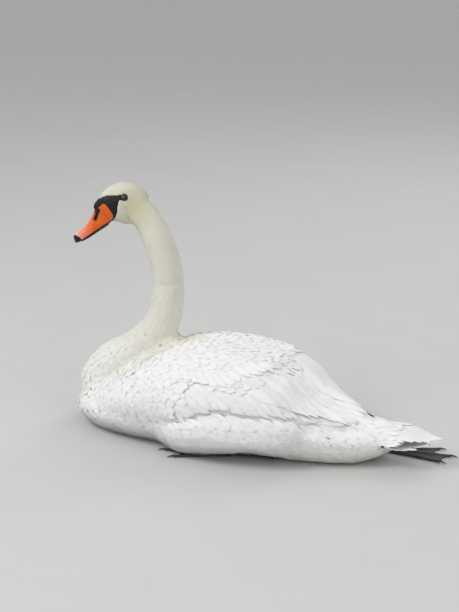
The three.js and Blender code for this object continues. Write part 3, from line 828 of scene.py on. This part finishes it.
def horn_material(name, base, wear_and_highlight, rough):
    """Dark horn with streaks of wear."""
    material, tree, shader = node_tree(name)
    streak = noise(tree, 160.0, 5.0, 0.6)
    put(tree, shader, {
        "Base Color": mixed(tree, ranged(tree, streak, 0.42, 0.75), colour(base), colour(wear_and_highlight)),
        "Roughness": ranged(tree, streak, 0.3, 0.7, rough, rough + 0.18),
    })
    bumped(tree, shader, streak, 0.35, 0.0004)
    return material


def eye_material():
    """Dark brown iris with a black pupil under a clear wet front."""
    settings = bpy.context.scene.swan_eye
    material, tree, shader = node_tree("eye dark brown")
    pupil = ranged(tree, reading(tree, "Pupil"), 0.42, 0.5)
    iris = mixed(tree, noise(tree, 900.0, 3.0, 0.6), colour(settings.iris), colour(settings.iris_dark))
    shade = mixed(tree, pupil, colour((0.004, 0.004, 0.004)), iris)
    put(tree, shader, {"Base Color": shade, "Roughness": 0.08, "Coat Weight": 1.0, "Coat Roughness": 0.03})
    return material


def foot_material():
    """Dark grey webbed skin with small scales."""
    settings = bpy.context.scene.swan_feet
    material, tree, shader = node_tree("foot dark skin")
    inputs = {"Vector": own_place(tree), "Scale": 420.0}
    scales = add_node(tree, "ShaderNodeTexVoronoi", inputs).outputs["Distance"]
    seams = add_node(tree, "ShaderNodeTexVoronoi", inputs, feature="DISTANCE_TO_EDGE").outputs["Distance"]
    dust = ranged(tree, noise(tree, 60.0, 4.0, 0.6), 0.3, 0.7)
    base = mixed(tree, dust, colour(settings.skin), colour(settings.skin_light))
    groove = figured(tree, "MULTIPLY", ranged(tree, seams, 0.0, 0.12, 1.0, 0.0), 0.55)
    put(tree, shader, {
        "Base Color": mixed(tree, groove, base, colour((0.012, 0.012, 0.013))),
        "Roughness": ranged(tree, scales, 0.0, 0.7, 0.42, 0.62),
    })
    bumped(tree, shader, ranged(tree, seams, 0.0, 0.3), 0.6, 0.0006)
    return material


def floor_material():
    """Plain pale floor."""
    base = bpy.context.scene.swan_stage.floor
    material, tree, shader = node_tree("pale floor")
    cloud = ranged(tree, noise(tree, 6.0, 4.0, 0.6), 0.3, 0.7)
    put(tree, shader, {
        "Base Color": mixed(tree, cloud, colour(base), colour([c * 0.97 for c in base])), "Roughness": 0.7,
    })
    return material


# What the makers share: the outer surface of the coat, its values and its random draws.
WORK = {}


def outer_shell():
    """The outer surface of the plumage: points in mm and four-sided faces."""
    points, faces = voxel_shell(node_copy(FLESH, FOLD_FILL), SHELL_GRAINS[0])
    points = relaxed(points, faces, 6)
    points = points - vertex_normals(points, faces) * FOLD_FILL
    points, faces = voxel_shell(quad_mesh(points, faces), SHELL_GRAINS[1])
    points = relaxed(points, faces, 8)
    # The nape, where two nodes meet, and the fold before the wing are evened out.
    head = framed(HEAD_FRAME.inverted(), points)
    middle, reach, floor = NAPE
    share = ((head[:, 0] - middle[0]) / reach[0]) ** 2 + ((head[:, 2] - middle[1]) / reach[1]) ** 2
    share = np.exp(-share ** 2) * (points[:, 2] > floor)
    points = points + (relaxed(points, faces, 90, steps=(0.6,)) - points) * share[:, None]
    line = side_line(BREAST_FOLD)
    gap = np.min([segment_distance(points * (1, -way, 1), a, b)[0]
                  for way in SIDES.values() for a, b in zip(line, line[1:])], axis=0)
    share = np.clip((52 - gap) / 26, 0, 1) * (0.3 + 0.7 * np.clip((points[:, 0] + 350) / 50, 0, 1))
    points = points + (relaxed(points, faces, 220, steps=(0.6,)) - points) * share[:, None]
    return points, faces


def coat_surface():
    """The outer surface of the plumage, with the coat's values on it and the node under each point."""
    if "surface" not in WORK:
        surface = Surface(*outer_shell())
        WORK["surface"] = surface
        WORK["values"], WORK["owner"] = coat_values(surface)
        WORK["lies"] = relaxed(lie_at(surface.points, surface.normals), surface.faces, 16, steps=(0.8,))
    return WORK["surface"], WORK["values"], WORK["owner"]


def make_skin():
    """The skin of head, neck, trunk, wings and tail, inside them by the coat's depth."""
    surface, values, _ = coat_surface()
    widest = 60.0
    walls = [
        surface.tree.ray_cast([p + 0.4 * d for p, d in zip(place, way)], way, widest)[3] or widest
        for place, way in zip(surface.points.tolist(), (-surface.normals).tolist())
    ]
    walls = relaxed(np.minimum(walls, THICK_WALL), surface.faces, 12, steps=(0.7,))
    depth = np.minimum(SKIN_DEPTH * values[:, 3] + 0.6, WALL_SHARE * walls)
    points = surface.points - surface.normals * depth[:, None]
    # Under the bare face the skin sinks into the head.
    middle = np.array(HEAD_FRAME @ Vector((-8, 0, 2)))
    sunk = np.clip(1.5 - mask_distance(surface.points), 0, 4)[:, None] / 4 * 7.0
    points = points + unit(middle - points) * sunk
    tail = np.maximum(points[:, 0] - TAIL_ROOT, 0)
    points[:, 0] -= 0.45 * tail
    points[:, 1] *= 1 - 0.2 * np.clip(tail / 50, 0, 1)
    points[:, 2] = np.maximum(points[:, 2], 1.0)
    skin = mesh_piece("skin", points, surface.faces, plumage_material("skin white down", 0.0))
    add_markings(skin.data, surface.points)
    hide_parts(*FLESH)


def wing_line(places):
    """How far above the tips of the great coverts each place is, in mm."""
    tips = np.array(WING_ROWS["coverts"][1], dtype=float)
    return places[:, 2] - np.interp(places[:, 0], tips[:, 0], tips[:, 2])


def make_coat():
    """Small feathers all over: head, neck, breast, belly, wings, flanks and tail."""
    surface, values, owner = coat_surface()
    rng = np.random.default_rng(7)
    roots, corner = scattered(surface, values[:, 0], rng)
    values, owner = values[corner], owner[corner]
    head = framed(HEAD_FRAME.inverted(), roots)
    # Roots keep off the eyes. The absolute places also bar one spot low on each cheek.
    turned = (np.abs(head), head, head * (1, -1, 1))
    eye = np.min([np.linalg.norm(places - EYE_PLACE, axis=1) for places in turned], axis=0)
    normals, headings = surface.normals[corner], unit(WORK["lies"][corner])
    headings = headings + np.cross(normals, headings) * rng.normal(0, 0.1, len(roots))[:, None]
    size = rng.uniform(0.86, 1.14, len(roots))
    above = normals[:, 2] > 0.35
    keep = (mask_distance(roots) > 0.5) & (eye > EYE_RADIUS + 2.0)
    keep &= (owner != FLESH.index("tail")) | (roots[:, 0] <= np.where(above, *TAIL_COAT))
    WORK["roots"], WORK["headings"], WORK["root_owner"] = roots, headings, owner
    front = roots[:, 0] < BREAST_BACK
    for row, node in enumerate(FLESH):
        on_node = keep & (owner == row)
        parts = {f"coat_{node}": on_node}
        if node == "trunk":
            parts = {"coat_breast": on_node & front, "coat_belly": on_node & ~front}
        neck, wing = "neck" in node, "wing" in node
        kind = "small" if node == "head" else "neck" if neck else "contour"
        for name, chosen in parts.items():
            depths, count, x = values[chosen, 3], chosen.sum(), roots[chosen, 0]
            lows = -(0.5 if kind != "contour" else 0.26) * depths
            highs = rng.uniform(-0.08, 0.02, count) * depths
            if wing:
                # Behind the coverts' tips and far back the small feathers lie under the long ones.
                low_edge = np.clip((4 - wing_line(roots[chosen])) / 6, 0, 1)
                rear = np.clip((x + rng.uniform(-18, 18, count) + 132) / 34, 0, 1)
                sunk = np.maximum(low_edge * rear, np.clip((x - 20) / 60, 0, 1))
                lows = lows - 0.45 * sunk * depths
                highs = highs - 0.68 * sunk * depths
            # Feathers that would bend too far round an edge are left out.
            bend = np.where(x > 40, 0.85, -1) if wing else np.where(x > 200, 0.6, -1)
            lengths, widths = (values[chosen, column] * size[chosen] for column in (1, 2))
            lay_feathers(name, kind, surface, roots[chosen], headings[chosen], lengths, widths, lows, highs,
                         rng, 0.16 if kind == "small" else 0.24, bulge=0.08 if neck else 0.16, bend=bend)


def make_fluff():
    """Loose down along the hem of the flanks and under the breast, hanging over the feet."""
    surface, _, _ = coat_surface()
    roots, headings, owner = WORK["roots"], WORK["headings"], WORK["root_owner"]
    rng = np.random.default_rng(17)
    # Piece: node, height of the down's upper edge and how far back it reaches, in mm.
    for name, (node, top, back) in {
        "fluff_left": ("flank_left", 64, 110), "fluff_right": ("flank_right", 64, 110),
        "fluff_breast": ("trunk", 44, -60),
    }.items():
        chosen = (owner == FLESH.index(node)) & (roots[:, 2] < top) & (roots[:, 2] > 3) & (roots[:, 0] < back)
        chosen = np.repeat(np.flatnonzero(chosen), 3)
        count = len(chosen)
        places = roots[chosen] + rng.normal(0, 3.0, (count, 3))
        height = np.clip(1 - places[:, 2] / top, 0, 1)
        down = np.stack([np.zeros(count), np.zeros(count), -0.2 - 0.9 * height], axis=1)
        ways = unit(headings[chosen]) + down + rng.normal(0, 0.22, (count, 3))
        lengths, widths = rng.uniform(20, 36, count), rng.uniform(2.4, 4.2, count)
        highs = rng.uniform(0.4, 2.4, count) + rng.uniform(0, 6, count) * height**2
        lay_feathers(name, "plume", surface, places, ways, lengths, widths, -1.5, highs, rng, 0.25,
                     round_tip=0.04, fray=0.02, bulge=0.1, bend=0.1)


def make_wings():
    """Long feathers of each folded wing, in rows from the hindmost up."""
    surface, _, _ = coat_surface()
    for side, way in SIDES.items():
        rng = np.random.default_rng(11)
        for name, (root_line, tip_line, count, width, low, high) in WING_ROWS.items():
            shares = (np.arange(count) + 0.5) / count + rng.uniform(-0.2, 0.2, count) / count
            roots, tips = (
                surface.nearest(along(side_line(line), shares) * (1, -way, 1))[0]
                for line in (root_line, tip_line)
            )
            lengths = np.linalg.norm(tips - roots, axis=1) * rng.uniform(0.97, 1.06, count)
            widths = width * rng.uniform(0.92, 1.08, count)
            highs = high + rng.uniform(-0.4, 0.4, count)
            lay_feathers(f"{name}_{side}", "vane", surface, roots, tips - roots, lengths, widths, low, highs,
                         rng, 0.7, aim=tips + (tips - roots) * 1.5, roll=0.05 * way, round_tip=0.05,
                         fray=0.012, camber=0.12, cling=name == "primaries")


def make_tail():
    """Tail feathers in a fan, above and below."""
    surface, _, _ = coat_surface()
    rng = np.random.default_rng(13)
    for name, (height, edge, count, lift) in TAIL_FANS.items():
        shares = np.linspace(-1, 1, count)
        shares = shares[np.argsort(-np.abs(shares))]
        roots = np.stack([np.full(count, 236.0), shares * 25, height + edge * shares**2], axis=1)
        tips = np.stack([373 - 66 * np.abs(shares) ** 1.5, shares * 42, 57 + 0.3 * edge * shares**2], axis=1)
        roots, _ = surface.nearest(roots)
        lengths = np.linalg.norm(tips - roots, axis=1) * rng.uniform(0.98, 1.0, count)
        lay_feathers(name, "vane", surface, roots, tips - roots, lengths, np.full(count, 19.0), -2.6,
                     np.linspace(-1.6, lift, count), rng, 0.6, aim=tips + (tips - roots), round_tip=0.05,
                     fray=0.01, cling=False)


def face_piece(name, nodes, grain, rounds, material, shape=None):
    """A hard or bare piece remade finely from copies of its nodes."""
    swell = 0.25  # mm, as much as the evening out takes off
    points, faces = voxel_shell(node_copy(nodes, swell), grain)
    points = relaxed(points, faces, rounds)
    normals = vertex_normals(points, faces)
    points = points - normals * swell
    markings = {}
    if shape:
        points, markings = shape(points, faces, normals)
    obj = mesh_piece(name, points, faces, material)
    for label, values in markings.items():
        write(obj.data, label, values)
    return obj


def shape_bill(points, faces, normals):
    """Sinks the nostrils and the hidden part behind the face, and writes the bill's markings with a painted
    highlight along the ridge.
    """
    nostril = nostril_distance(points)
    bill = framed(BILL_FRAME.inverted(), points)
    sink = relaxed(0.35 + np.clip(mask_distance(points), 0, 1.4) / 1.4 * 4.6, faces, 3, steps=(0.5,))
    pit = np.clip(-nostril / 1.8, 0, 1)
    pit = pit * pit * (3 - 2 * pit) * NOSTRIL[3]
    rim = np.exp(-((nostril - 1.2) ** 2) / 0.8) * 0.35
    side = np.clip(np.abs(bill[:, 1]) / 5 - 0.6, 0, 1)
    moved = points - normals * (sink + (pit - rim) * side)[:, None]
    knob = np.linalg.norm(bill - KNOB[0], axis=1) - KNOB[1]
    nail = np.hypot(bill[:, 0] - NAIL[0], bill[:, 2] - NAIL[1]) - NAIL[2]
    black = np.max([patch_distance(points), 0.5 - nostril, -knob, -nail], axis=0)
    forward = -bill[:, 0]
    tip = np.clip((forward - 20) / 44, 0, 1)
    up = np.array(BILL_FRAME.to_3x3() @ Vector((0, 0, 1)))
    # Pale: a painted highlight along the middle of the ridge where its faces turn up, growing towards the tip,
    # and the horn near the nail, which is really paler.
    ridge = np.exp(-((bill[:, 1] / 7.5) ** 2)) * np.clip(normals @ up, 0, 1)
    pale = ridge * np.interp(forward, (0, 20, 50, 70), (0.0, 0.3, 0.7, 0.9))
    pale = np.maximum(pale, np.interp(forward, (58, 66), (0, 0.8)))
    return moved, {"Black": black, "Tip": tip, "Pale": pale}


def shape_lower_bill(points, _faces, normals):
    """Thins the lower bill, most of all where it goes under the cheek."""
    bill = framed(BILL_FRAME.inverted(), points)
    sink = 0.3 + np.clip((bill[:, 0] + 16) / 16, 0, 1) * 1.8
    return points - normals * sink[:, None], {}


def make_bill():
    """Upper bill with the bare face and knob, lower bill and nail."""
    settings = bpy.context.scene.swan_bill
    upper = face_piece("bill_and_face", ["bill_upper", "bill_knob", "head"], 0.95, 8, bill_material(),
                       shape_bill)
    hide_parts("bill_upper", "bill_knob")
    black = horn_material("bill black horn", settings.black, (0.035, 0.03, 0.028), 0.34)
    lower = face_piece("lower_bill", ["bill_lower"], 0.7, 4, black, shape_lower_bill)
    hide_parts("bill_lower")
    horn = horn_material("nail horn", (0.02, 0.018, 0.017), (0.12, 0.1, 0.09), 0.3)
    nail = face_piece("nail", ["bill_nail"], 0.5, 4, horn)
    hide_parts("bill_nail")


def make_eyes():
    """Eyes with a clear bulge in front, and bare black lids round them."""
    settings = bpy.context.scene.swan_eye
    eye_finish = eye_material()
    lid_finish = horn_material("lid black skin", settings.lid, (0.03, 0.03, 0.03), 0.42)
    bulge = 3.6  # mm, radius of the clear bulge
    for side, way in SIDES.items():
        centre = HEAD_FRAME @ Vector((EYE_PLACE[0], EYE_PLACE[1] * way, EYE_PLACE[2]))
        outward = (HEAD_FRAME.to_3x3() @ Vector((-0.1, way, 0.06))).normalized()
        place = Matrix.Scale(MM, 4) @ Matrix.Translation(centre)
        place = place @ outward.to_track_quat("Z", "Y").to_matrix().to_4x4()
        bm = bmesh.new()
        bmesh.ops.create_uvsphere(bm, u_segments=40, v_segments=28, radius=EYE_RADIUS)
        pupil = bm.verts.layers.float.new("Pupil")
        for vert in bm.verts:
            vert[pupil] = 1.0
            if vert.co.z > 0:
                off = math.hypot(vert.co.x, vert.co.y)
                vert[pupil] = off / EYE_RADIUS
                vert.co.z += 0.5 * max(0.0, 1 - (off / bulge) ** 2)
        bmesh.ops.transform(bm, matrix=place, verts=bm.verts)
        eye = bmesh_piece(f"eye_{side}_ball", bm, eye_finish)
        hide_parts(f"eye_{side}")
        bm = bmesh.new()
        turns = [2 * math.pi * k / LID_SEGMENTS for k in range(LID_SEGMENTS)]
        made = []
        for radius, height in LID_RINGS:
            narrow = 0.1 if radius < 5 else 0.0  # the opening is a little lower than it is wide
            rows = [radius * math.sin(turn) * (1 - narrow * abs(math.sin(turn))) for turn in turns]
            made.append([
                bm.verts.new((radius * math.cos(turn), row, height)) for turn, row in zip(turns, rows)
            ])
        for inner, outer in zip(made, made[1:] + made[:1]):
            for k in range(LID_SEGMENTS):
                bm.faces.new((inner[k - 1], inner[k], outer[k], outer[k - 1]))
        bmesh.ops.recalc_face_normals(bm, faces=bm.faces)
        bmesh.ops.transform(bm, matrix=place, verts=bm.verts)
        bmesh_piece(f"eyelids_{side}", bm, lid_finish)


def toe_places(turn, reach, shares):
    """Places along a toe in its foot's own frame, in mm."""
    angle = math.radians(TOE_SPREAD * turn)
    return [Vector((-math.cos(angle), math.sin(angle), 0)) * reach * share for share in shares]


def add_limb(bm, places, radii, tall=1.0, segments=16):
    """Adds a jointed round limb to a bmesh: a cone between every two places and a ball at each."""
    for k, (place, radius) in enumerate(zip(places, radii)):
        flat = Matrix.Translation(place) @ Matrix.Diagonal((1, 1, tall, 1))
        bmesh.ops.create_icosphere(bm, subdivisions=3, radius=radius, matrix=flat)
        if k == 0:
            continue
        run = place - places[k - 1]
        turn = run.to_track_quat("Z", "Y").to_matrix().to_4x4()
        middle = (place + places[k - 1]) / 2
        bmesh.ops.create_cone(
            bm, cap_ends=True, segments=segments, radius1=radii[k - 1] * 0.88, radius2=radius * 0.88,
            depth=run.length, matrix=Matrix.Translation(middle) @ Matrix.Diagonal((1, 1, tall, 1)) @ turn,
        )


def make_feet():
    """Webbed feet with jointed toes, shanks and claws."""
    settings = bpy.context.scene.swan_feet
    skin = foot_material()
    horn = horn_material("claw horn", settings.claw, (0.06, 0.055, 0.05), 0.35)
    radii = [r * settings.toe / TOE_RADIUS for r in (5.2, 4.0, 4.5, 3.5, 4.0, 3.1, 3.2)]
    toes = list(zip((-1, 0, 1), TOE_REACHES))
    for side, (x, y, turn) in FOOT_PLACES.items():
        place = Matrix.Translation((x, y, 0)) @ Matrix.Rotation(math.radians(turn), 4, "Z")
        bm, claws = bmesh.new(), bmesh.new()
        outline = [Vector((5, -6, 0))]
        for step, reach in toes:
            outline += toe_places(step, reach, (0.96,))
            if step < 1:
                outline += toe_places(step + 0.3, reach, (0.86,)) + toe_places(step + 0.62, reach, (0.87,))
        outline.append(Vector((5, 6, 0)))
        web = bm.faces.new([bm.verts.new(corner + Vector((0, 0, 1.0))) for corner in outline])
        grown = bmesh.ops.extrude_face_region(bm, geom=[web])["geom"]
        grown = [item for item in grown if isinstance(item, bmesh.types.BMVert)]
        bmesh.ops.translate(bm, vec=(0, 0, 2.0), verts=grown)
        bmesh.ops.recalc_face_normals(bm, faces=bm.faces)
        for step, reach in toes:
            places = toe_places(step, reach, (0.02, 0.16, 0.32, 0.46, 0.6, 0.8, 0.95))
            places = [p + Vector((0, 0, r * 0.8 + 0.5)) for p, r in zip(places, radii)]
            add_limb(bm, places, radii, 0.8)
            nails = toe_places(step, reach, (0.95, 0.985)) + toe_places(step, reach + CLAW, (0.97, 1.0))
            nails = [p + Vector((0, 0, z)) for p, z in zip(nails, (3.6, 3.9, 2.8, 1.2))]
            add_limb(claws, nails, (2.2, 2.1, 1.4, 0.6), 0.9, 12)
        for part in (bm, claws):
            bmesh.ops.transform(part, matrix=Matrix.Scale(MM, 4) @ place, verts=part.verts)
        bm.from_mesh(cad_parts[f"leg_{side}"].data)
        mesh = bpy.data.meshes.new("foot")
        bm.to_mesh(mesh)
        bm.free()
        points, faces = voxel_shell(mesh, 0.85)
        points = relaxed(points, faces, 3)
        points[:, 2] = np.maximum(points[:, 2], FLOOR_GAP)
        foot = mesh_piece(f"web_and_shank_{side}", points, faces, skin)
        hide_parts(f"foot_{side}", f"leg_{side}")
        bmesh.ops.recalc_face_normals(claws, faces=claws.faces)
        bmesh_piece(f"claws_{side}", claws, horn)


def make_stage():
    """Floor, lights, sky and camera."""
    settings = bpy.context.scene.swan_stage
    bpy.context.scene.view_settings.view_transform = "Standard"
    bm = bmesh.new()
    bmesh.ops.create_grid(bm, x_segments=2, y_segments=2, size=30)
    mesh = bpy.data.meshes.new("floor")
    bm.to_mesh(mesh)
    bm.free()
    mesh.materials.append(floor_material())
    linked("floor", mesh)
    world = bpy.data.worlds.new("studio")
    world.use_nodes = True
    put(world.node_tree, world.node_tree.nodes["Background"],
        {"Color": (0.98, 0.99, 1.0, 1.0), "Strength": settings.sky})
    bpy.context.scene.world = world
    for name, place, size, power in (
        ("key", (-1.9, -2.3, 3.0), 2.2, 1.0), ("fill", (2.6, -1.6, 1.8), 2.4, 0.22),
        ("rim", (0.6, 2.8, 2.6), 2.2, 0.3),
    ):
        lamp = bpy.data.lights.new(name, "AREA")
        lamp.shape = "DISK"
        lamp.size = size
        lamp.energy = settings.key * power
        light = linked(name, lamp)
        light.location = place
        light.rotation_euler = (Vector((-0.05, 0, 0.15)) - Vector(place)).to_track_quat("-Z", "Y").to_euler()
    camera = bpy.data.cameras.new("camera")
    camera.lens = settings.lens
    camera.sensor_width = 36
    camera.clip_start = 0.05
    camera.clip_end = 100
    eye = linked("camera", camera)
    azimuth, flat, up = settings.azimuth, math.cos(settings.elevation), math.sin(settings.elevation)
    back_way = Vector((math.sin(azimuth) * flat, -math.cos(azimuth) * flat, up))
    eye.location = Vector(CAMERA_TARGET) * MM + back_way * settings.distance
    eye.rotation_euler = (-back_way).to_track_quat("-Z", "Y").to_euler()
    bpy.context.scene.camera = eye


def tint(name, description, default):
    """A colour that the user can change."""
    return FloatVectorProperty(
        name=name, description=description, subtype="COLOR", default=default, min=0, max=1
    )


class SwanCoat(bpy.types.PropertyGroup):
    """Colours of the plumage"""

    white: tint("White", "Colour of the body feathers", (0.87, 0.868, 0.855))
    cream: tint("Cream", "Colour of the neck and head", (0.78, 0.755, 0.63))
    olive: tint("Olive", "Shade of crown and cheek", (0.66, 0.62, 0.42))
    # This colour is painted warm shade in the crease where the neck rests on the back.
    rust: tint("Rust", "Stain where the neck rests on the back", (0.62, 0.46, 0.24))
    # The grey goes on low down, more so towards the rear.
    grey: tint("Grey", "Soiled underside", (0.62, 0.62, 0.57))


class SwanBill(bpy.types.PropertyGroup):
    """Colours of the bill and the bare face"""

    orange: tint("Orange", "Colour of the bill", (0.75, 0.13, 0.01))
    deep_orange: tint("Deep orange", "Darker clouds in the orange", (0.6, 0.085, 0.008))
    pink: tint("Pink", "Colour towards the tip", (0.7, 0.23, 0.15))
    # This colour serves a painted highlight along the ridge and the real paler horn near the tip.
    pale: tint("Pale", "Worn horn along the ridge", (0.8, 0.62, 0.52))
    black: tint("Black", "Bare face, knob and lower bill", (0.006, 0.006, 0.007))


class SwanEye(bpy.types.PropertyGroup):
    """Colours of the eyes"""

    iris: tint("Iris", "Brown of the iris", (0.05, 0.022, 0.01))
    iris_dark: tint("Iris dark", "Dark flecks of the iris", (0.02, 0.01, 0.006))
    lid: tint("Lid", "Bare skin of the lids", (0.012, 0.012, 0.013))


class SwanFeet(bpy.types.PropertyGroup):
    """Colours and thickness of the feet"""

    skin: tint("Skin", "Dark grey of the webs", (0.028, 0.028, 0.032))
    skin_light: tint("Light skin", "Dusty grey of the webs", (0.06, 0.06, 0.066))
    claw: tint("Claw", "Colour of the claws", (0.012, 0.011, 0.011))
    toe: FloatProperty(
        name="Toe", description="Half the thickness of a toe, in mm", default=TOE_RADIUS, min=3, max=6)


class SwanStage(bpy.types.PropertyGroup):
    """Floor, lights and camera"""

    floor: tint("Floor", "Colour of the floor", (0.55, 0.55, 0.54))
    key: FloatProperty(name="Key light", description="Strength of the main light", unit="POWER", default=84.0)
    sky: FloatProperty(name="Sky", description="Strength of the even light", default=0.64)
    azimuth: FloatProperty(
        name="Azimuth", description="Turn of the camera", unit="ROTATION", default=math.radians(24))
    elevation: FloatProperty(
        name="Elevation", description="Height angle of the camera", unit="ROTATION", default=math.radians(16))
    distance: FloatProperty(name="Distance", description="Camera to swan", unit="LENGTH", default=2.745)
    lens: FloatProperty(name="Lens", description="Focal length of the camera", unit="CAMERA", default=85.0)


class SWAN_OT_stage(bpy.types.Operator):
    """Make the floor, the lights and the camera"""

    bl_idname = "swan.stage"
    bl_label = "Stage"

    def execute(self, context):
        make_stage()
        return {"FINISHED"}


class SWAN_OT_skin(bpy.types.Operator):
    """Make the skin that all the feathers stand on"""

    bl_idname = "swan.skin"
    bl_label = "Skin"

    def execute(self, context):
        if "Plumage shades" not in bpy.data.node_groups:
            plumage_group()
        WORK["feather_material"] = plumage_material("feathers white", 9.0)
        WORK["vane_material"] = plumage_material("long feathers white", 34.0)
        make_skin()
        return {"FINISHED"}


class SWAN_OT_coat(bpy.types.Operator):
    """Lay the small feathers over the whole body"""

    bl_idname = "swan.coat"
    bl_label = "Small feathers"

    def execute(self, context):
        make_coat()
        make_fluff()
        return {"FINISHED"}


class SWAN_OT_wings(bpy.types.Operator):
    """Lay the long feathers of both wings"""

    bl_idname = "swan.wings"
    bl_label = "Wing feathers"

    def execute(self, context):
        make_wings()
        return {"FINISHED"}


class SWAN_OT_tail(bpy.types.Operator):
    """Lay the tail feathers"""

    bl_idname = "swan.tail"
    bl_label = "Tail feathers"

    def execute(self, context):
        make_tail()
        return {"FINISHED"}


class SWAN_OT_bill(bpy.types.Operator):
    """Make the bill with its knob, nail and bare face"""

    bl_idname = "swan.bill"
    bl_label = "Bill"

    def execute(self, context):
        make_bill()
        return {"FINISHED"}


class SWAN_OT_eyes(bpy.types.Operator):
    """Make the eyes and their lids"""

    bl_idname = "swan.eyes"
    bl_label = "Eyes"

    def execute(self, context):
        make_eyes()
        return {"FINISHED"}


class SWAN_OT_feet(bpy.types.Operator):
    """Make the webbed feet"""

    bl_idname = "swan.feet"
    bl_label = "Feet"

    def execute(self, context):
        make_feet()
        return {"FINISHED"}


PIECES = ("stage", "skin", "coat", "wings", "tail", "bill", "eyes", "feet")


class SWAN_PT_panel(bpy.types.Panel):
    """Makers and settings of the swan"""

    bl_idname = "SWAN_PT_panel"
    bl_label = "Swan"
    bl_space_type = "VIEW_3D"
    bl_region_type = "UI"
    bl_category = "Swan"

    def draw(self, context):
        for name in PIECES:
            self.layout.operator(f"swan.{name}")
        for group in SETTINGS:
            settings = getattr(context.scene, group)
            box = self.layout.box()
            for label in settings.bl_rna.properties.keys():
                if label not in ("rna_type", "name"):
                    box.prop(settings, label)


SETTINGS = {
    "swan_coat": SwanCoat, "swan_bill": SwanBill, "swan_eye": SwanEye, "swan_feet": SwanFeet,
    "swan_stage": SwanStage,
}
CLASSES = (
    *SETTINGS.values(), SWAN_OT_stage, SWAN_OT_skin, SWAN_OT_coat, SWAN_OT_wings, SWAN_OT_tail, SWAN_OT_bill,
    SWAN_OT_eyes, SWAN_OT_feet, SWAN_PT_panel,
)


def register():
    """Registers the classes and hangs the settings on the scene."""
    for item in CLASSES:
        bpy.utils.register_class(item)
    for name, group in SETTINGS.items():
        setattr(bpy.types.Scene, name, PointerProperty(type=group))


def unregister():
    """Takes the settings and the classes away again."""
    for name in SETTINGS:
        delattr(bpy.types.Scene, name)
    for item in reversed(CLASSES):
        bpy.utils.unregister_class(item)


def main():
    """Makes all the pieces in order."""
    register()
    for name in PIECES:
        getattr(bpy.ops.swan, name)()


if __name__ == "__main__":
    main()
